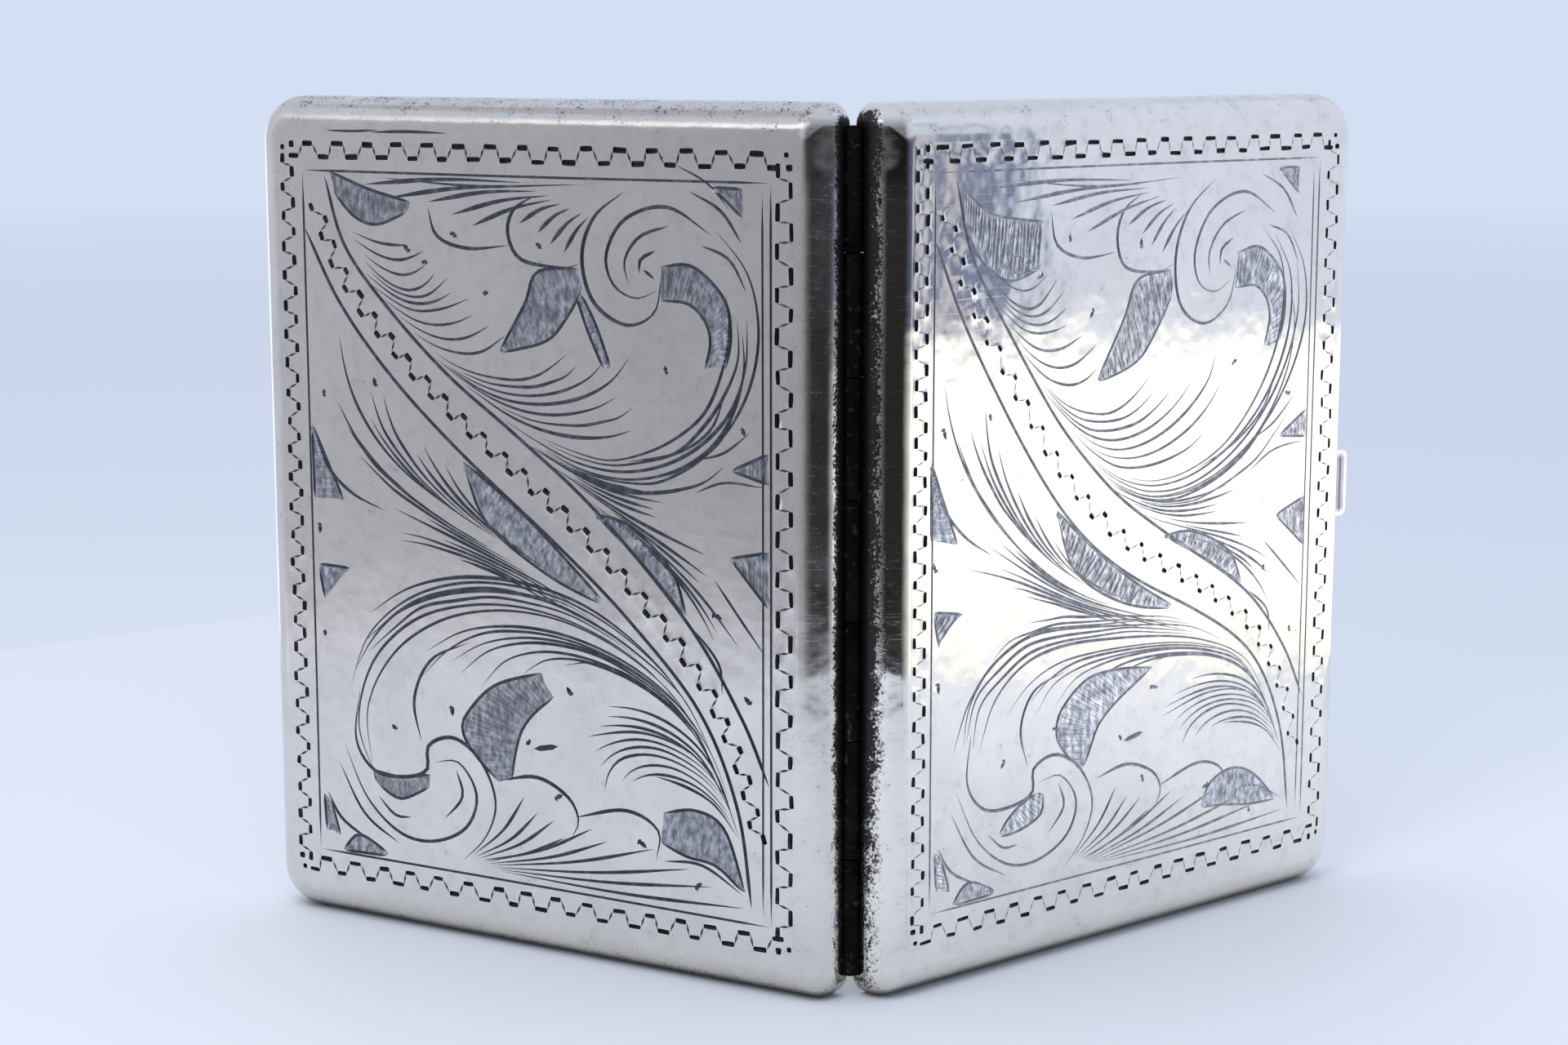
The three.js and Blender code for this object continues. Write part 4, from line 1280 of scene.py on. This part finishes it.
def retainer_parts():
    for leaf in LEAVES:
        for end in ("lower", "upper"):
            node = f"{leaf.name}_retainer_lug_{end}"
            place(refined(node, f"{node}_soft", leaf, 0.12), leaf, leaf.body, node, GILT, "gilt_silver")
            node = f"{leaf.name}_retainer_spring_{end}"
            wire = tube(f"{node}_wound", spring_path(end == "upper"), 0.2)
            place(wire, leaf, f"{leaf.name}_retainer", node, STEEL, "steel", sharp=60)
        node = f"{leaf.name}_retainer_rod"
        low, high = (corner.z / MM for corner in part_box(node))
        rod = turned(f"{node}_turned", PIVOT_U, PIVOT_W, domed_bar(ROD_RADIUS, low, high))
        place(rod, leaf, leaf.body, node, STEEL, "steel")
        node = f"{leaf.name}_retainer_bow"
        bow = refined(node, f"{node}_soft", leaf, 0.13)
        place(bow, leaf, f"{leaf.name}_retainer", node, GILT, "gilt_silver")
        node = f"{leaf.name}_rim_wire"
        place(refined(node, f"{node}_soft", leaf, 0.2), leaf, leaf.body, node, PLAIN_SILVER, "plain_silver")


def catch_parts():
    button = refined("thumb_button", "thumb_button_soft", FRONT, 0.34, 4)
    place(button, FRONT, "catch", "thumb_button", BUTTON_SILVER, "plain_silver")
    nose = refined("catch_nose", "catch_nose_soft", FRONT, 0.1, 4)
    place(nose, FRONT, "catch", "catch_nose", STEEL, "steel")
    spring = refined("catch_spring", "catch_spring_soft", FRONT, 0.1)
    mesh = bmesh.new()
    mesh.from_mesh(spring.data)
    for z in np.arange(18.5, 52.5, 1.5):  # cross cuts every 1.5 mm along the strip
        everything = mesh.verts[:] + mesh.edges[:] + mesh.faces[:]
        bmesh.ops.bisect_plane(mesh, geom=everything, plane_co=(0, 0, z), plane_no=(0, 0, 1))
    mesh.to_mesh(spring.data)
    mesh.free()
    place(spring, FRONT, None, "catch_spring", STEEL, "steel")
    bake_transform(spring)
    keeper = refined("catch_keeper", "catch_keeper_soft", REAR, 0.12)
    place(keeper, REAR, REAR.body, "catch_keeper", PLAIN_SILVER, "plain_silver")
    for index in (1, 2):
        node = f"spring_rivet_{index}"
        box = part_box(node)
        middle = (box[0].z + box[1].z) / 2 / MM
        head, start, end = 0.85, 72.14, 73.82
        rise = 0.26
        dome = [(head * math.cos(a) + 0.001, start + rise - rise * math.sin(a))
                for a in np.linspace(1.45, 0, 7)]
        profile = dome + [(head, start + 0.4), (0.45, start + 0.4), (0.45, end - 0.08), (0.37, end)]
        rivet = turned(f"{node}_domed", middle, RIVET_W, profile, along_u=True)
        place(rivet, FRONT, FRONT.body, node, PLAIN_SILVER, "plain_silver")


hinge_parts()
retainer_parts()
catch_parts()

# ---- floor, light and camera -----------------------------------------------------

BACKDROP = (0.652, 0.735, 0.888)


def studio_material(name):
    material = bpy.data.materials.new(name)
    material.use_nodes = True
    return material, material.node_tree.nodes, material.node_tree.links


def mapped(nodes, links, value, start, end, low=0.0, high=1.0):
    """A value from start to end, turned into one from low to high."""
    node = nodes.new("ShaderNodeMapRange")
    links.new(value, node.inputs["Value"])
    for socket, number in zip(("From Min", "From Max", "To Min", "To Max"), (start, end, low, high)):
        node.inputs[socket].default_value = number
    return node


def faded_out(nodes, links, shader, share):
    """Shows a shader, clear wherever the share is 1."""
    clear = nodes.new("ShaderNodeBsdfTransparent")
    blend = nodes.new("ShaderNodeMixShader")
    for index, output in enumerate((share, shader, clear.outputs[0])):
        links.new(output, blend.inputs[index])
    links.new(blend.outputs[0], nodes["Material Output"].inputs["Surface"])


def floor():
    """A pale floor that fades out into the backdrop well behind the case."""
    mesh = bmesh.new()
    bmesh.ops.create_circle(mesh, cap_ends=True, segments=96, radius=1.6)
    piece = to_object(mesh, "floor")
    material, nodes, links = studio_material("pale_floor")
    shader = nodes["Principled BSDF"]
    shader.inputs["Base Color"].default_value = (0.80, 0.81, 0.84, 1)
    shader.inputs["Roughness"].default_value = 0.7
    place = nodes.new("ShaderNodeTexCoord")
    length = nodes.new("ShaderNodeVectorMath")
    length.operation = "LENGTH"
    links.new(place.outputs["Object"], length.inputs[0])
    fade = mapped(nodes, links, length.outputs["Value"], 0.45, 1.5)
    faded_out(nodes, links, shader.outputs[0], fade.outputs[0])
    piece.data.materials.append(material)


def area_light(name, place, target, size, power):
    """A soft light on the diffuse surfaces only, as the silver mirrors the cards instead."""
    data = bpy.data.lights.new(name, "AREA")
    data.shape = "RECTANGLE"
    data.size, data.size_y = size
    data.energy = power
    light = bpy.data.objects.new(name, data)
    light.location = place
    light.rotation_euler = (Vector(target) - Vector(place)).to_track_quat("-Z", "Y").to_euler()
    light.visible_glossy = False
    bpy.context.scene.collection.objects.link(light)


def card(name, radius, angles, heights, stops, strength=1.0, fade=0.0, foot=1.0):
    """A curved card round the case that only reflections see, its colour by angle in degrees.

    It stands between two heights, and its upper edge fades out over a part of its height.
    Its foot, 20 mm high, blends toward the floor: foot is its brightness there beside the rest."""
    low, high = heights
    foot_height = 0.02
    mesh = bmesh.new()
    columns = []
    for angle in np.radians(np.linspace(angles[0], angles[1], 49)):
        across, deep = radius * math.cos(angle), radius * math.sin(angle)
        columns.append([mesh.verts.new((across, deep, z)) for z in heights])
    for left, right in zip(columns, columns[1:]):
        mesh.faces.new((left[0], right[0], right[1], left[1]))
    piece = to_object(mesh, name)
    material, nodes, links = studio_material(name)
    nodes.remove(nodes["Principled BSDF"])
    place = nodes.new("ShaderNodeTexCoord")
    turn = nodes.new("ShaderNodeTexGradient")
    turn.gradient_type = "RADIAL"
    links.new(place.outputs["Object"], turn.inputs[0])
    colors = nodes.new("ShaderNodeValToRGB")
    links.new(turn.outputs["Fac"], colors.inputs[0])
    elements = colors.color_ramp.elements
    for index, (angle, color) in enumerate(stops):
        where = angle / 360 + 0.5
        stop = elements[index] if index < 2 else elements.new(where)
        stop.position = where
        stop.color = (*color, 1)
    glow = nodes.new("ShaderNodeEmission")
    links.new(colors.outputs[0], glow.inputs["Color"])
    apart = nodes.new("ShaderNodeSeparateXYZ")
    links.new(place.outputs["Object"], apart.inputs[0])
    height = apart.outputs["Z"]
    power = mapped(nodes, links, height, 0, low + foot_height, strength * foot, strength)
    power.interpolation_type = "SMOOTHSTEP"
    links.new(power.outputs[0], glow.inputs["Strength"])
    edge = mapped(nodes, links, height, high - fade * (high - low), high + 0.0001)
    faded_out(nodes, links, glow.outputs[0], edge.outputs[0])
    piece.data.materials.append(material)
    piece.visible_camera = False
    piece.visible_diffuse = False
    piece.visible_shadow = False
    piece.visible_transmission = False


def grey(value, blue=1.0):
    return (value, value, value * blue)


def wall(value):
    return (value, value * 1.04, value * 1.21)


def studio():
    """A pale light tent with a soft light above, open to a dark room at the front."""
    floor()
    area_light("overhead", (-0.15, -0.1, 0.8), (0, 0, 0), (0.7, 0.7), 1.2)
    area_light("front_fill", (0.03, -0.2, 0.22), (0.02, -0.09, 0), (0.12, 0.12), 0.17)
    area_light("side_glow", (0.165, 0.06, 0.05), (0.15, 0.055, 0), (0.04, 0.12), 0.018)
    card("grey_wall", 0.19, (-150, -100), (0, 0.15), [
        (-150, wall(0.65)), (-136, wall(0.54)), (-112, wall(0.43)), (-100, wall(0.37))], foot=1.6)
    card("dark_room", 0.188, (-104, 15), (0, 0.104), [
        (-104, wall(0.42)), (-90, wall(0.32)), (-80, grey(0.12)), (-68, grey(0.022)), (-14, grey(0.022)),
        (2, (0.09, 0.11, 0.18)), (7, (0.16, 0.20, 0.34)), (9, grey(0.66, 1.1)), (11.2, grey(0.66, 1.1)),
        (11.9, (0.14, 0.18, 0.33)), (15, (0.14, 0.18, 0.33))], 1.0, 0.12)
    card("bright_panel", 0.18, (-20, 70), (0, 0.058), [
        (-20, grey(0.02)), (-12, grey(0.16)), (-2, grey(0.42)), (5, grey(0.75)), (9, grey(1.0)),
        (70, grey(1.0))], 1.5, 0.12, 0.84)
    card("pale_panel", 0.185, (14.1, 70), (0.03, 0.3), [
        (14.1, (0.30, 0.35, 0.50)), (16.4, (0.75, 0.82, 1.0)), (70, (0.75, 0.82, 1.0))], 1.0, 0.3)
    card("left_strip", 0.19, (148, 179), (0, 0.12), [(148, grey(1.0)), (179, grey(1.0))], 1.35, 0.3)
    card("soft_box", 0.5, (-178, -88), (0.25, 0.42), [
        (-178, grey(0.4, 1.1)), (-136, grey(0.62, 1.1)), (-114, grey(0.98, 1.05)), (-88, grey(1.0, 1.05))],
        1.55, 0.3)
    card("high_box", 0.3, (-178, -100), (0.38, 0.8), [
        (-178, grey(0.5, 1.15)), (-136, grey(0.56, 1.15)), (-118, grey(0.85, 1.1)), (-100, grey(0.85, 1.1))])
    world = bpy.data.worlds.new("studio")
    world.use_nodes = True
    world.node_tree.nodes["Background"].inputs["Color"].default_value = (*BACKDROP, 1)
    bpy.context.scene.world = world
    bpy.context.scene.view_settings.view_transform = "Standard"


def camera():
    """The eye stands 295 mm from the spine, 30 degrees round from the rear cover's normal."""
    data = bpy.data.cameras.new("camera")
    data.sensor_width = 36
    data.lens = 65.7
    data.clip_start = 0.01
    eye = bpy.data.objects.new("camera", data)
    bpy.context.scene.collection.objects.link(eye)
    turn = math.radians(29.93)
    pitch = math.radians(-9.587)
    away, aside, height = 294.75, 7.07, 101.3
    sideways = Vector((math.cos(turn), math.sin(turn), 0))
    forward = Vector((-math.sin(turn), math.cos(turn), 0))
    place = Vector((HINGE.x, HINGE.y, 0)) - sideways * aside - forward * away + Vector((0, 0, height))
    eye.location = place * MM
    look = forward * math.cos(pitch) + Vector((0, 0, math.sin(pitch)))
    eye.rotation_euler = look.to_track_quat("-Z", "Y").to_euler()
    bpy.context.scene.camera = eye


studio()
camera()
